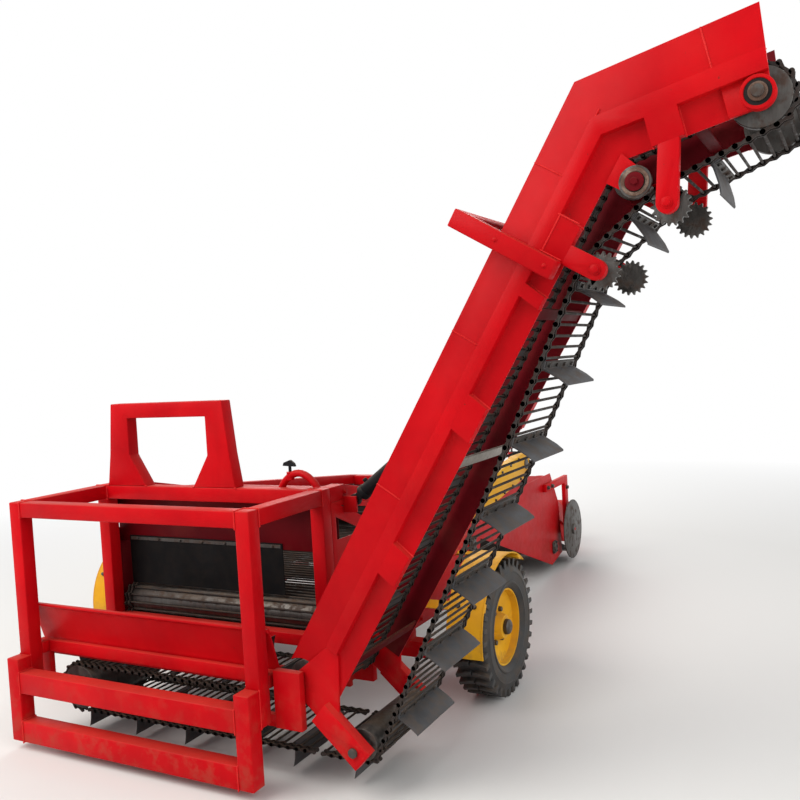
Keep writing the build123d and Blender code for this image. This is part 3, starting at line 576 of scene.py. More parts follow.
# ------------------------------------------------------------------------- repeats and their trees
class Tree(Nodes):
    """A Geometry Nodes tree with named inputs that ends in plain, finished faces."""

    def __init__(self, name: str, sockets: dict[str, str]) -> None:
        """Make the tree's group with its inputs, each a name and a kind, and its output."""
        super().__init__(bpy.data.node_groups.new(name, "GeometryNodeTree"))
        face = self.tree.interface
        face.new_socket("Geometry", in_out="INPUT", socket_type="NodeSocketGeometry")
        self.identifiers = {
            title: face.new_socket(title, in_out="INPUT", socket_type=f"NodeSocket{kind}").identifier
            for title, kind in {**sockets, "Seed": "Int", "Finish": "Material"}.items()}
        face.new_socket("Geometry", in_out="OUTPUT", socket_type="NodeSocketGeometry")
        self.inputs = self.add("NodeGroupInput").outputs

    def close(self, instances: Any) -> None:
        """Make the instances real, give them their material and send them out."""
        real = self.add("GeometryNodeRealizeInstances", {0: instances})
        dressed = self.add("GeometryNodeSetMaterial", {"Geometry": real.outputs[0],
                                                       "Material": self.inputs["Finish"]})
        self.add("NodeGroupOutput", {0: dressed.outputs[0]})

    def run(self, made: Piece, values: dict[str, Any]) -> Piece:
        """Run the tree on an object and keep what it makes.

        Args:
            made: The points or curve that the tree starts from.
            values: What its named inputs are set to.

        Returns:
            An object with the result as its own plain mesh.
        """
        modifier = made.modifiers.new(self.tree.name, "NODES")
        modifier.node_group = self.tree
        for title, value in values.items():
            modifier[self.identifiers[title]] = value
        data = baked(made)
        name = made.name
        bpy.data.objects.remove(made)
        data.name = name
        result = link(name, data)
        for attribute in ("aim", "side", "size"):
            if attribute in data.attributes:
                data.attributes.remove(data.attributes[attribute])
        return settle(result)


class Spot(NamedTuple):
    """A place for one copy of a repeated shape."""

    at: Sequence[float]
    aim: Sequence[float]
    side: Sequence[float] = (0, 0, 1)
    size: float = 1.0


def spots_object(name: str, spots: Sequence[Spot]) -> Piece:
    """Points that carry the aim, side and size of each copy."""
    data = bpy.data.meshes.new(name)
    data.from_pydata([tuple(spot.at) for spot in spots], [], [])
    for key in ("aim", "side"):
        attribute = data.attributes.new(key, "FLOAT_VECTOR", "POINT")
        attribute.data.foreach_set("vector", [value for spot in spots for value in getattr(spot, key)])
    data.attributes.new("size", "FLOAT", "POINT").data.foreach_set("value", [spot.size for spot in spots])
    return link(name, data)


@cache
def scatter_tree() -> Tree:
    """Tree that sets a copy of a pattern on every spot, turned to its aim."""
    tree = Tree("copies_on_spots", {"Pattern": "Object", "Turn": "Float"})
    read = {name: tree.add("GeometryNodeInputNamedAttribute", {"Name": name}, data_type=kind)
            for name, kind in (("aim", "FLOAT_VECTOR"), ("side", "FLOAT_VECTOR"), ("size", "FLOAT"))}
    pattern = tree.add("GeometryNodeObjectInfo", {"Object": tree.inputs["Pattern"]})
    turned = tree.add("FunctionNodeAxesToRotation",
                      {0: read["aim"].outputs[0], 1: read["side"].outputs[0]},
                      primary_axis="Z", secondary_axis="X")
    copies = tree.add("GeometryNodeInstanceOnPoints",
                      {"Points": tree.inputs["Geometry"], "Instance": pattern.outputs["Geometry"],
                       "Rotation": turned.outputs[0], "Scale": read["size"].outputs[0]})
    least = tree.add("ShaderNodeMath", {0: tree.inputs["Turn"], 1: -1.0}, operation="MULTIPLY")
    chance = tree.add("FunctionNodeRandomValue", {2: least.outputs[0], 3: tree.inputs["Turn"],
                                                  "Seed": tree.inputs["Seed"]}, data_type="FLOAT")
    spin = tree.add("ShaderNodeCombineXYZ", {2: chance.outputs[1]})
    loose = tree.add("GeometryNodeRotateInstances", {0: copies.outputs[0], "Rotation": spin.outputs[0]})
    tree.close(loose.outputs[0])
    return tree


@cache
def bead_tree() -> Tree:
    """Tree that lays the ripples of a weld along a curve."""
    tree = Tree("weld_bead", {"Width": "Float", "Ripple": "Float"})
    line = tree.add("GeometryNodeResampleCurve", {"Curve": tree.inputs["Geometry"],
                                                  "Length": tree.inputs["Ripple"]}, mode="LENGTH")
    drop = tree.add("GeometryNodeMeshIcoSphere", {"Radius": 0.5, "Subdivisions": 2})
    tangent = tree.add("GeometryNodeInputTangent")
    turned = tree.add("FunctionNodeAlignRotationToVector", {"Vector": tangent.outputs[0]}, axis="Z")
    wide = tree.add("FunctionNodeRandomValue", {2: 0.85, 3: 1.15, "Seed": tree.inputs["Seed"]},
                    data_type="FLOAT")
    width = tree.add("ShaderNodeMath", {0: tree.inputs["Width"], 1: wide.outputs[1]},
                     operation="MULTIPLY")
    length = tree.add("ShaderNodeMath", {0: tree.inputs["Ripple"], 1: 1.9}, operation="MULTIPLY")
    size = tree.add("ShaderNodeCombineXYZ", {0: width.outputs[0], 1: width.outputs[0],
                                             2: length.outputs[0]})
    copies = tree.add("GeometryNodeInstanceOnPoints",
                      {"Points": line.outputs[0], "Instance": drop.outputs[0],
                       "Rotation": turned.outputs[0], "Scale": size.outputs[0]})
    tree.close(copies.outputs[0])
    return tree


def scatter(name: str, pattern: Form, spots: Sequence[Spot], body: str, finish: Finish,
            replaces: Sequence[str] = (), turn: float = 0.0, easing: float = 0.0) -> Piece:
    """Repeat a shape on many spots as one piece.

    Args:
        name: The piece's name.
        pattern: The shape, about its own origin, facing local +z.
        spots: Where its copies go.
        body: The body that they move with.
        finish: What they are made of.
        replaces: The solids that they stand for.
        turn: The most that a copy turns about its own axis by chance.
        easing: Width of the shape's eased edges.

    Returns:
        The piece.
    """
    shape = pattern.object(name + "_pattern")
    if easing:
        ease(shape, easing, 1)
    made = scatter_tree().run(spots_object(name, spots), {
        "Pattern": shape, "Turn": turn, "Seed": SCATTER_SEED, "Finish": material_of(finish)})
    bpy.data.objects.remove(shape)
    return publish(made, body, finish, replaces)


def weld(name: str, lines: Sequence[Sequence[Sequence[float]]], body: str, width: float,
         ripple: float = 0.0045) -> Piece:
    """Lay enamelled weld beads along lines of points, as one piece; their lighter red is a painted highlight.
    """
    curve = bpy.data.curves.new(name, "CURVE")
    curve.dimensions = "3D"
    for line in lines:
        spline = curve.splines.new("POLY")
        spline.points.add(len(line) - 1)
        for point, place in zip(spline.points, line):
            point.co = (*place, 1.0)
    made = bead_tree().run(link(name, curve), {
        "Width": width, "Ripple": ripple, "Seed": WELD_SEED, "Finish": material_of(Finish.SEAM)})
    return publish(made, body, Finish.SEAM)


def hexagon(radius: float) -> list[Flat]:
    """Corners of a hexagon."""
    return [polar(radius, n * pi / 3) for n in range(6)]


def bolt_form(across: float = 0.024, washer: float = 0.034) -> Form:
    """Hexagon bolt head on its washer, facing +z from its seat."""
    thick, chamfer, sides = 0.0035, 0.0015, 18
    head = across * 0.62 - chamfer
    form = Form().lathe(plan_frame(0), [(-0.001, washer / 2 - 0.001), (0.0006, washer / 2),
                                        (thick, washer / 2 - 0.0006)], sides)
    form.prism(plan_frame(thick), hexagon(across / 2 / cos(pi / 6)), head)
    return form.lathe(plan_frame(thick + head), [(0, across * 0.49), (chamfer, across * 0.42)], sides)


def rivet_form(radius: float) -> Form:
    """Low domed rivet head."""
    dome = [(radius * 0.42, radius * 0.72), (radius * 0.58, radius * 0.3)]
    return Form().lathe(plan_frame(0), [(-0.001, radius), (0.001, radius * 0.97), *dome], 14)


def bolts(name: str, places: Sequence[Sequence[float]], aim: Sequence[float], body: str, size: float = 1.0,
          finish: Finish = Finish.WORN) -> Piece:
    """Set bolts on places that all face one way."""
    side = (0, 0, 1) if abs(aim[2]) < 0.9 else (1, 0, 0)
    return scatter(name, bolt_form(), [Spot(place, aim, side, size) for place in places], body, finish,
                   turn=0.5)


# ----------------------------------------------------------------------------------------- webs
class Pulley(NamedTuple):
    """A wheel that a web's centreline wraps, in the web's own plane."""

    across: float
    up: float
    radius: float
    turn: int


class Place(NamedTuple):
    """A point of a web's centreline and the heading of the web there."""

    across: float
    up: float
    heading: float


@dataclass
class WebLine:
    """The closed centreline of a web round its pulleys."""

    pulleys: Sequence[Pulley]

    def rows(self) -> list[tuple[Pulley, float, float]]:
        """Each pulley with the headings at which the web arrives and leaves."""
        headings = []
        for here, there in zip(self.pulleys, [*self.pulleys[1:], self.pulleys[0]]):
            gap = hypot(there.across - here.across, there.up - here.up)
            bearing = atan2(there.up - here.up, there.across - here.across)
            headings.append(bearing + asin((here.turn * here.radius - there.turn * there.radius) / gap))
        rows = []
        for index, pulley in enumerate(self.pulleys):
            arrive = headings[index - 1]
            sweep = (pulley.turn * (headings[index] - arrive)) % (2 * pi)
            rows.append((pulley, arrive, arrive + pulley.turn * sweep))
        return rows

    @staticmethod
    def touch(pulley: Pulley, heading: float) -> Flat:
        """Point where the web wraps a pulley at a heading."""
        reach = pulley.turn * pulley.radius
        return (pulley.across + reach * sin(heading), pulley.up - reach * cos(heading))

    def arc(self, share: float, pulley: Pulley, arrive: float, leave: float) -> Place:
        """Place at a share of the arc round a pulley."""
        heading = arrive + (leave - arrive) * share
        return Place(*self.touch(pulley, heading), heading)

    @staticmethod
    def straight(share: float, start: Flat, end: Flat, heading: float) -> Place:
        """Place at a share of the straight between two pulleys."""
        across, up = (a + (b - a) * share for a, b in zip(start, end))
        return Place(across, up, heading)

    def stretches(self) -> list[tuple[float, Callable[..., Place], tuple]]:
        """Each arc and straight of the line: its length, and what finds a place on it."""
        found = []
        rows = self.rows()
        for (pulley, arrive, leave), (following, arrive_next, _) in zip(rows, [*rows[1:], rows[0]]):
            start, end = self.touch(pulley, leave), self.touch(following, arrive_next)
            found += [(pulley.radius * abs(leave - arrive), self.arc, (pulley, arrive, leave)),
                      (hypot(end[0] - start[0], end[1] - start[1]), self.straight, (start, end, leave))]
        return found

    def length(self) -> float:
        """Length of the whole line."""
        return sum(length for length, _, _ in self.stretches())

    def places(self, count: int) -> list[Place]:
        """Evenly spaced places round the line."""
        stretches = self.stretches()
        total = self.length()
        found = []
        for number in range(count):
            left = total * number / count
            for length, place, details in stretches:
                if left < length:
                    break
                left -= length
            found.append(place(min(1.0, left / length), *details))
        return found


@dataclass
class HookWeb:
    """An endless web of rods, each hooked to the next, with flights where it climbs."""

    name: str
    body: str
    line: WebLine
    origin: Matrix                      # local x and y lie in the line's plane, z runs across the web
    width: float
    keep: Callable[[float], bool] = lambda across: True
    flights: bool = False
    flight_pitch: float = 0.315
    rods_per_flight: int = 7
    rod_radius: float = 0.0055
    rod_inset: float = 0.004            # from the web's edge to the rod's end
    band: float = 0.040                 # width of the hooks at each edge
    hook_thick: float = 0.007
    eye_radius: float = 0.0097          # outside of a hook's eye
    flight_reach: float = 0.112
    flight_thick: float = 0.0075
    flight_inset: float = 0.056

    def __post_init__(self) -> None:
        """Work out the rods' places."""
        count = round(self.line.length() / self.flight_pitch) * self.rods_per_flight
        self.all_places = self.line.places(count)
        self.pitch = self.line.length() / count

    def spot(self, place: Place, across: float = 0.0) -> Spot:
        """Spot on the web, its aim along the web's width and its side along its run."""
        turned = self.origin.to_3x3()
        return Spot(self.origin @ Vector((place.across, place.up, across)), turned @ Vector((0, 0, 1)),
                    turned @ Vector((*polar(1.0, place.heading), 0)))

    def rod_form(self) -> Form:
        """One rod."""
        return Form().rod((0, 0, self.rod_inset), (0, 0, self.width - self.rod_inset), self.rod_radius, 10)

    def hook_form(self) -> Form:
        """The hooks that join a rod to the one behind it, at one edge of the web."""
        form = Form()
        middle, half, steps = -self.pitch * 0.5, self.hook_thick / 2, 5
        front = [polar(self.eye_radius, pi / 2 - pi * n / steps) for n in range(steps + 1)]
        back = [(-self.pitch - x, -y) for x, y in front]
        for start, end in ((0.003, 0.011), (0.028, 0.036)):
            form.prism(plan_frame(start), front + [(middle, -half)] + back + [(middle, half)], end - start)
        return form

    def flight_form(self) -> Form:
        """A rubber flight: a cupped blade on a foot, aim across the web."""
        reach, thick = self.flight_reach, self.flight_thick
        back = [(0.0, 0.004), (0.001, -0.03), (0.005, -0.075), (0.013, -reach + 0.003), (0.017, -reach)]
        face = [(x - thick * (1.0 - 0.35 * -y / reach), y) for x, y in reversed(back)]
        foot = [(-thick, -0.008), (-0.034, -0.004), (-0.034, 0.004)]
        return Form().prism(plan_frame(self.flight_inset), back + face[:-1] + foot,
                            self.width - 2 * self.flight_inset)

    def clamp_form(self) -> Form:
        """The steel strip and bolts that hold a flight's foot."""
        wide, margin, seat = self.width - 2 * self.flight_inset, 0.012, -0.0085
        form = Form().box((-0.033, seat, self.flight_inset + margin),
                          (-0.009, -0.004, self.flight_inset + wide - margin))
        for share in (0.12, 0.37, 0.63, 0.88):
            form.prism(aim_frame((-0.021, seat, self.flight_inset + wide * share), (0, -1, 0)),
                       hexagon(0.0085), 0.0065)
        return form

    def build(self) -> None:
        """Build the rods, the hooks and the flights."""
        kept = [place for place in self.all_places if self.keep(place.across)]
        scatter(f"{self.name}_rods", self.rod_form(), [self.spot(place) for place in kept], self.body,
                Finish.WEB, [f"{self.name}_web"])
        scatter(f"{self.name}_hooks", self.hook_form(),
                [self.spot(place, across) for place in kept[1:]
                 for across in (0.0, self.width - self.band + 0.001)], self.body, Finish.WEB)
        if self.flights:
            spots = [self.spot(place) for place in self.all_places[::self.rods_per_flight]
                     if self.keep(place.across)]
            scatter(f"{self.name}_flights", self.flight_form(), spots, self.body, Finish.FLIGHT,
                    easing=0.0015)
            scatter(f"{self.name}_flight_clamps", self.clamp_form(), spots, self.body, Finish.WORN)


# ---------------------------------------------------------------------------------- assemblies
@dataclass
class Assembly:
    """A group of pieces on the frame."""

    frame: dict[str, Any]

    def __post_init__(self) -> None:
        """Note which body carries each node and where the elevator's hinge is."""
        carried = self.frame["record"]["behaviour"]["bodies"]
        self.bodies = {node: body for body, nodes in carried.items() for node in nodes}
        self.hinge = Vector(next(joint["pos_m"] for joint in self.frame["joints"]
                                 if joint["name"] == "elevator_lift"))

    def from_hinge(self, across: float, up: float) -> Flat:
        """Point of the elevator, across and up from its hinge."""
        return (self.hinge.y + across, self.hinge.z + up)

    def on_incline(self, along: float, above: float) -> Flat:
        """Point of the elevator, along its incline from the hinge and above it."""
        return self.from_hinge(above * sin(INCLINE) - along * cos(INCLINE),
                               above * cos(INCLINE) + along * sin(INCLINE))

    def eased_copy(self, node: str, finish: Finish, width: float) -> Piece:
        """Stand a copy of a solid in for it, its edges eased and its faces finished."""
        form = bmesh.new()
        form.from_mesh(self.frame["nodes"][node].data)
        bmesh.ops.remove_doubles(form, verts=form.verts, dist=MERGE_DISTANCE)
        bmesh.ops.dissolve_limit(form, angle_limit=FLAT_ANGLE, verts=form.verts, edges=form.edges)
        data = bpy.data.meshes.new(f"{node}_body")
        form.to_mesh(data)
        form.free()
        return publish(ease(link(data.name, data), width), self.bodies[node], finish, [node])

    def dress(self, table: dict[str, tuple[Finish, float]]) -> None:
        """Stand eased copies in for several solids: node, finish and width of the easing."""
        for node, (finish, width) in table.items():
            self.eased_copy(node, finish, width)

    @staticmethod
    def paint_shade_inside(made: Piece, axis: int, middle: float) -> None:
        """Paint shade on the faces that look towards a middle plane: the darker red stands in for the shade
        between them.

        Args:
            made: The piece to finish.
            axis: The axis that the plane stands across.
            middle: Where on that axis the plane is.
        """
        made.data.materials.append(material_of(Finish.SHADED_RED))
        for face in made.data.polygons:
            if face.normal[axis] * (middle - face.center[axis]) > 0:
                face.material_index = int(abs(face.normal[axis]) > INWARD)


def box_seam(axis: int, at: float, first: Flat, second: Flat) -> list[Vector]:
    """Closed weld line round a square tube where it meets a face.

    Args:
        axis: Index of the axis that the tube runs along.
        at: Where the face is on that axis.
        first: The tube's span on the next axis.
        second: Its span on the one after.

    Returns:
        The line's points, the first one again at the end.
    """
    points = []
    for a, b in ((0, 0), (1, 0), (1, 1), (0, 1), (0, 0)):
        point = Vector()
        point[axis] = at
        point[(axis + 1) % 3] = first[a] + (SEAM_GAP if a else -SEAM_GAP)
        point[(axis + 2) % 3] = second[b] + (SEAM_GAP if b else -SEAM_GAP)
        points.append(point)
    return points


@dataclass
class RearCage(Assembly):
    """The square-tube cage at the rear, its guard, its arch and the panel in it."""

    corner: float = 0.005               # easing of the tubes' edges
    tube: float = 0.075                 # width of a tube
    depth: float = 0.650                # from the rear face to the front face
    top: float = 1.230

    def build(self) -> None:
        """Build the cage."""
        self.dress({node: (Finish.RED, self.corner) for node in
                    ("cage_posts", "cage_cross_bars", "cage_side_bars", "guard_posts", "guard_rails", "arch",
                     "conveyor_mounts")})
        self.dress({"slope_panel": (Finish.RED, 0.0015), "conveyor_sides": (Finish.RED, 0.003)})
        self.seams()
        self.valve()

    def seams(self) -> None:
        """Weld the cage's tubes together."""
        inner, front = HALF - self.tube, station(self.depth) - self.tube
        bar = (level(self.top - self.tube), level(self.top))
        lines = [box_seam(1, side * inner, bar, (x, x + self.tube))
                 for x in (REAR, front) for side in (-1, 1)]
        for side in (-1, 1):
            across = tuple(sorted((side * inner, side * HALF)))
            lines += [box_seam(0, x, across, bar) for x in (REAR + self.tube, front)]
            lines += [box_seam(1, side * 0.670, (level(low), level(low + 0.105)), (REAR - 0.080, REAR))
                      for low in (0.045, 0.290)]
            lines += [[(REAR, y, level(z)) for z in (0.292, 0.458)] for y in across]
        for out in (0.443, 0.165):
            for side in (-1, 1):
                y = HALF - 0.535 + side * out
                lines.append([(front - 0.001, y + side * d, level(self.top + 0.001))
                              for d in (-0.002, 0.002)])
        weld("cage_welds", lines, "chassis", 0.0065, 0.006)

    def valve(self) -> None:
        """Set the lift's valve block, its elbow and its handle on the cage's front bar."""
        face = station(self.depth)
        block = Form().box((face, -0.700, level(1.165)), (face + 0.055, -0.410, level(1.205)))
        make("valve_block", block, "chassis", Finish.RED, 0.003, 2)
        x, near, far, steps = face + 0.029, -0.435, -0.667, 12
        form = Form().tube([(x, near + (far - near) * n / steps,
                             level(1.205) + 0.092 * sin(pi * n / steps) ** 0.7)
                            for n in range(steps + 1)], 0.0185, 16)
        for y in (near, far):
            form.lathe(aim_frame((x, y, level(1.204)), (0, 0, 1)),
                       [(0, 0.0235), (0.0015, 0.025), (0.012, 0.025), (0.0135, 0.0235)], 24)
        form.lathe(aim_frame((x, -0.500, level(1.262)), (0, 0, 1)),
                   [(0, 0.020), (0.040, 0.020), (0.042, 0.018)], 6)
        make("valve_elbow", form, "chassis", Finish.RED, 0)
        top = Vector((x, -0.500, level(1.304)))
        form = Form().rod(top, top + Vector((0, 0, 0.030)), 0.008)
        form.prism(side_frame(x - 0.008) @ Matrix.Translation((top.y, top.z + 0.026, 0)),
                   [(-0.036, 0.0), (0.040, 0.004), (0.034, 0.020), (-0.006, 0.034), (-0.030, 0.016)], 0.016)
        make("valve_handle", form, "chassis", Finish.BLACK, 0.002)


@dataclass
class ElevatorTrough(Assembly):
    """The elevator's walls, hoop, brackets, bearings and rollers."""

    head: float = radians(12.4)         # slope of the head
    rise: float = 0.090                 # from the incline through the hinge to a wall's top edge
    wall: float = 0.275                 # depth of a wall
    head_wall: float = 0.322            # depth of the head's wall
    length: float = 2.650               # of a wall, along the incline
    proud: float = 0.035                # thickness of the blocks on the walls
    rail: Flat = (0.47, 0.68)           # the rail's two edges, as shares of the wall's depth
    walls: Sequence[tuple[str, float, int]] = (("near", station(NEAR), -1), ("far", station(FAR), 1))

    def on_head(self, along: float, drop: float) -> Flat:
        """Point of the head, from the bend's corner, below its top edge."""
        y, z = self.on_incline(self.length, self.rise)
        return (y - along * cos(self.head) - drop * sin(self.head),
                z + along * sin(self.head) - drop * cos(self.head))

    def build(self) -> None:
        """Build the trough."""
        # Painted shade: the walls' faces that look into the trough get the darker red that stands in for its
        # shade.
        for node in ("elevator_near_wall", "elevator_far_wall"):
            self.paint_shade_inside(self.eased_copy(node, Finish.RED, 0.002), 0, station((NEAR + FAR) / 2))
        # Painted shade: the ties get the darker red that stands in for the shade they sit in.
        self.dress({"elevator_hoop": (Finish.RED, 0.005), "elevator_ties": (Finish.SHADED_RED, 0.001),
                    "middle_tie": (Finish.GALVANIZED, 0.001),
                    "foot_brackets": (Finish.RED, 0.003), "return_brackets": (Finish.RED, 0.004),
                    "head_bearings": (Finish.RED, 0.003), "elevator_rollers": (Finish.WORN, 0.002),
                    "return_sprockets": (Finish.WORN, 0.0015), "hold_down_discs": (Finish.WORN, 0.002),
                    "tail_roller": (Finish.WORN, 0.002)})
        self.seams()
        self.fasteners()
        self.bearings()

    def seams(self) -> None:
        """Weld the walls' sheets, rails and blocks."""
        top, foot = (self.rise - share * self.wall for share in self.rail)
        head_top, head_foot = (share * self.head_wall for share in self.rail)
        edge = self.rise - self.wall
        lines, fine = [], []

        def climb(face: float, *places: Flat) -> list[tuple[float, ...]]:
            """Line on the incline."""
            return [(face, *self.on_incline(*place)) for place in places]

        def crown(face: float, *places: Flat) -> list[tuple[float, ...]]:
            """Line on the head."""
            return [(face, *self.on_head(*place)) for place in places]

        for _, x, facing in self.walls:
            skin = x + facing * 0.0004
            block = skin + facing * self.proud
            fine += [climb(skin, (along, self.rise - 0.003), (along, top)) for along in (0.970, 1.670, 2.350)]
            fine.append(crown(skin, (0.435, 0.003), (0.435, head_top)))
            lines.append(climb(skin, (0.240, top + 0.001), (2.600, top + 0.001)))
            lines += [climb(skin, (along, foot), (along - 0.012, edge))
                      for along in (0.667, 0.812, 1.347, 1.497, 1.912, 1.962, 2.092, 2.232)]
            fine += [climb(block, (along, foot + 0.004), (along, edge + 0.012)) for along in (2.090, 2.230)]
            fine.append(climb(block, (2.094, foot - 0.001), (2.230, foot - 0.001)))
            lines += [crown(skin, (along, head_foot), (along, self.head_wall)) for along in (0.197, 0.307)]
            lines.append(crown(skin, (0.02, head_top - 0.001), (0.600, head_top - 0.001)))
        weld("wall_seams", fine, "elevator", 0.0065, 0.005)
        weld("rail_welds", lines, "elevator", 0.007)

    def fasteners(self) -> None:
        """Put the nuts on the return wheels' pins and plug welds on the hoop."""
        plugs = []
        for word, x, facing in self.walls:
            aim = (facing, 0, 0)
            for height, guide in (("low", LOW_GUIDE), ("high", HIGH_GUIDE)):
                axle = aim_frame((x + facing * self.proud, *self.from_hinge(*guide)), aim)
                form = Form().lathe(axle, [(0, 0.0185), (0.001, 0.0195), (0.003, 0.0195),
                                           (0.004, 0.0185)], 24)
                form.lathe(axle @ plan_frame(0.004), [(0, 0.0145), (0.0075, 0.0145), (0.0090, 0.0130)], 6)
                make(f"{word}_guide_nut_{height}", form, "elevator", Finish.RED, 0.0006)
            plugs += [Spot((x + facing * 0.095, *self.on_incline(2.0518, above)), aim)
                      for above in (0.060, -0.150)]
        scatter("hoop_plugs", rivet_form(0.009), plugs, "elevator", Finish.RED)

    def bearings(self) -> None:
        """Seat the head shaft and the idler in their races."""
        seal = [(-0.001, 0.0300), (-0.001, 0.0425), (0.0012, 0.0425), (0.0012, 0.0300)]
        collar = [(-0.001, 0.0205), (-0.001, 0.0300), (0.0110, 0.0300), (0.0125, 0.0285), (0.0125, 0.0205)]
        head_ring = [(-0.002, 0.0430), (-0.002, 0.0545), (0.0030, 0.0545), (0.0045, 0.0530),
                     (0.0045, 0.0445), (0.0030, 0.0430)]
        idler_ring = [(-0.001, 0.0345), (-0.001, 0.0475), (0.0030, 0.0475), (0.0045, 0.0460),
                      (0.0045, 0.0350)]
        for word, x, facing in self.walls:
            aim = (facing, 0, 0)
            axle = aim_frame((x + facing * self.proud, *self.from_hinge(*HEAD_WHEEL)), aim)
            make(f"{word}_bearing_seal", Form().lathe(axle, seal, 40, True), "elevator", Finish.BLACK)
            form = Form().lathe(axle, collar, 40, True)
            for n in range(3):
                turn = 2 * pi * n / 3 + 0.4
                form.lathe(aim_frame(axle @ Vector((*polar(0.0297, turn), 0.006)),
                                     axle.to_3x3() @ Vector((*polar(1, turn), 0))),
                           [(-0.002, 0.0035), (0.0006, 0.0035)], 6)
            make(f"{word}_bearing_collar", form, "elevator", Finish.RING)
            make(f"{word}_bearing_ring", Form().lathe(axle, head_ring, 48, True), "elevator", Finish.RED)
            idler = self.from_hinge(*IDLER)
            axle = aim_frame((x + facing * 0.024, *idler), aim)
            make(f"{word}_idler_ring", Form().lathe(axle, idler_ring, 48, True), "elevator", Finish.RING)
            hub = aim_frame((x + facing * 0.036, *idler), aim)
            form = Form().lathe(hub, [(-0.001, 0.0325), (0.0015, 0.0315), (0.0030, 0.0240), (0.0030, 0.0120)],
                                32)
            form.lathe(hub @ plan_frame(0.003), [(0, 0.0135), (0.008, 0.0135), (0.0095, 0.0120)], 6)
            # Painted shade: the idler's hub gets the darker red that stands in for shade.
            make(f"{word}_idler_hub", form, "elevator", Finish.SHADED_RED, 0)


@dataclass
class Webs(Assembly):
    """Every rod web on the machine."""

    margin: float = 0.030               # from a wall of the elevator to its web
    parting: float = 0.020              # from the hinge to the last rod of either body
    body_width: float = 1.330

    def climbing_line(self) -> WebLine:
        """Line of the web that crosses the cage and climbs the elevator."""
        wheels = (((0.0, 0.0), 0.090, -1), (BEND_WHEEL, 0.075, 1), (HEAD_WHEEL, 0.105, 1),
                  (HIGH_GUIDE, 0.076, -1), (LOW_GUIDE, 0.076, -1), (FOOT_WHEEL, 0.075, 1))
        return WebLine([Pulley(HALF - 0.240, level(0.262), 0.115, 1),
                        *(Pulley(*self.from_hinge(*place), radius, turn) for place, radius, turn in wheels)])

    def build(self) -> None:
        """Build the webs."""
        line, origin = self.climbing_line(), side_frame(station(NEAR + self.margin))
        width = FAR - NEAR - 2 * self.margin
        for name, keep in (("cross", lambda across: across > self.hinge.y + self.parting),
                           ("elevator", lambda across: across < self.hinge.y - self.parting)):
            HookWeb(name, self.bodies[f"{name}_web"], line, origin, width, keep, True).build()
        origin = long_frame(self.body_width / 2)
        for name, ends in (("separator", ("separator_head", "separator_tail")),
                           ("digging", ("digging_foot", "digging_head"))):
            pulleys = [Pulley(x, level(height), radius, 1) for x, height, radius in map(SHAFTS.get, ends)]
            HookWeb(name, self.bodies[f"{name}_web"], WebLine(pulleys), origin, self.body_width).build()


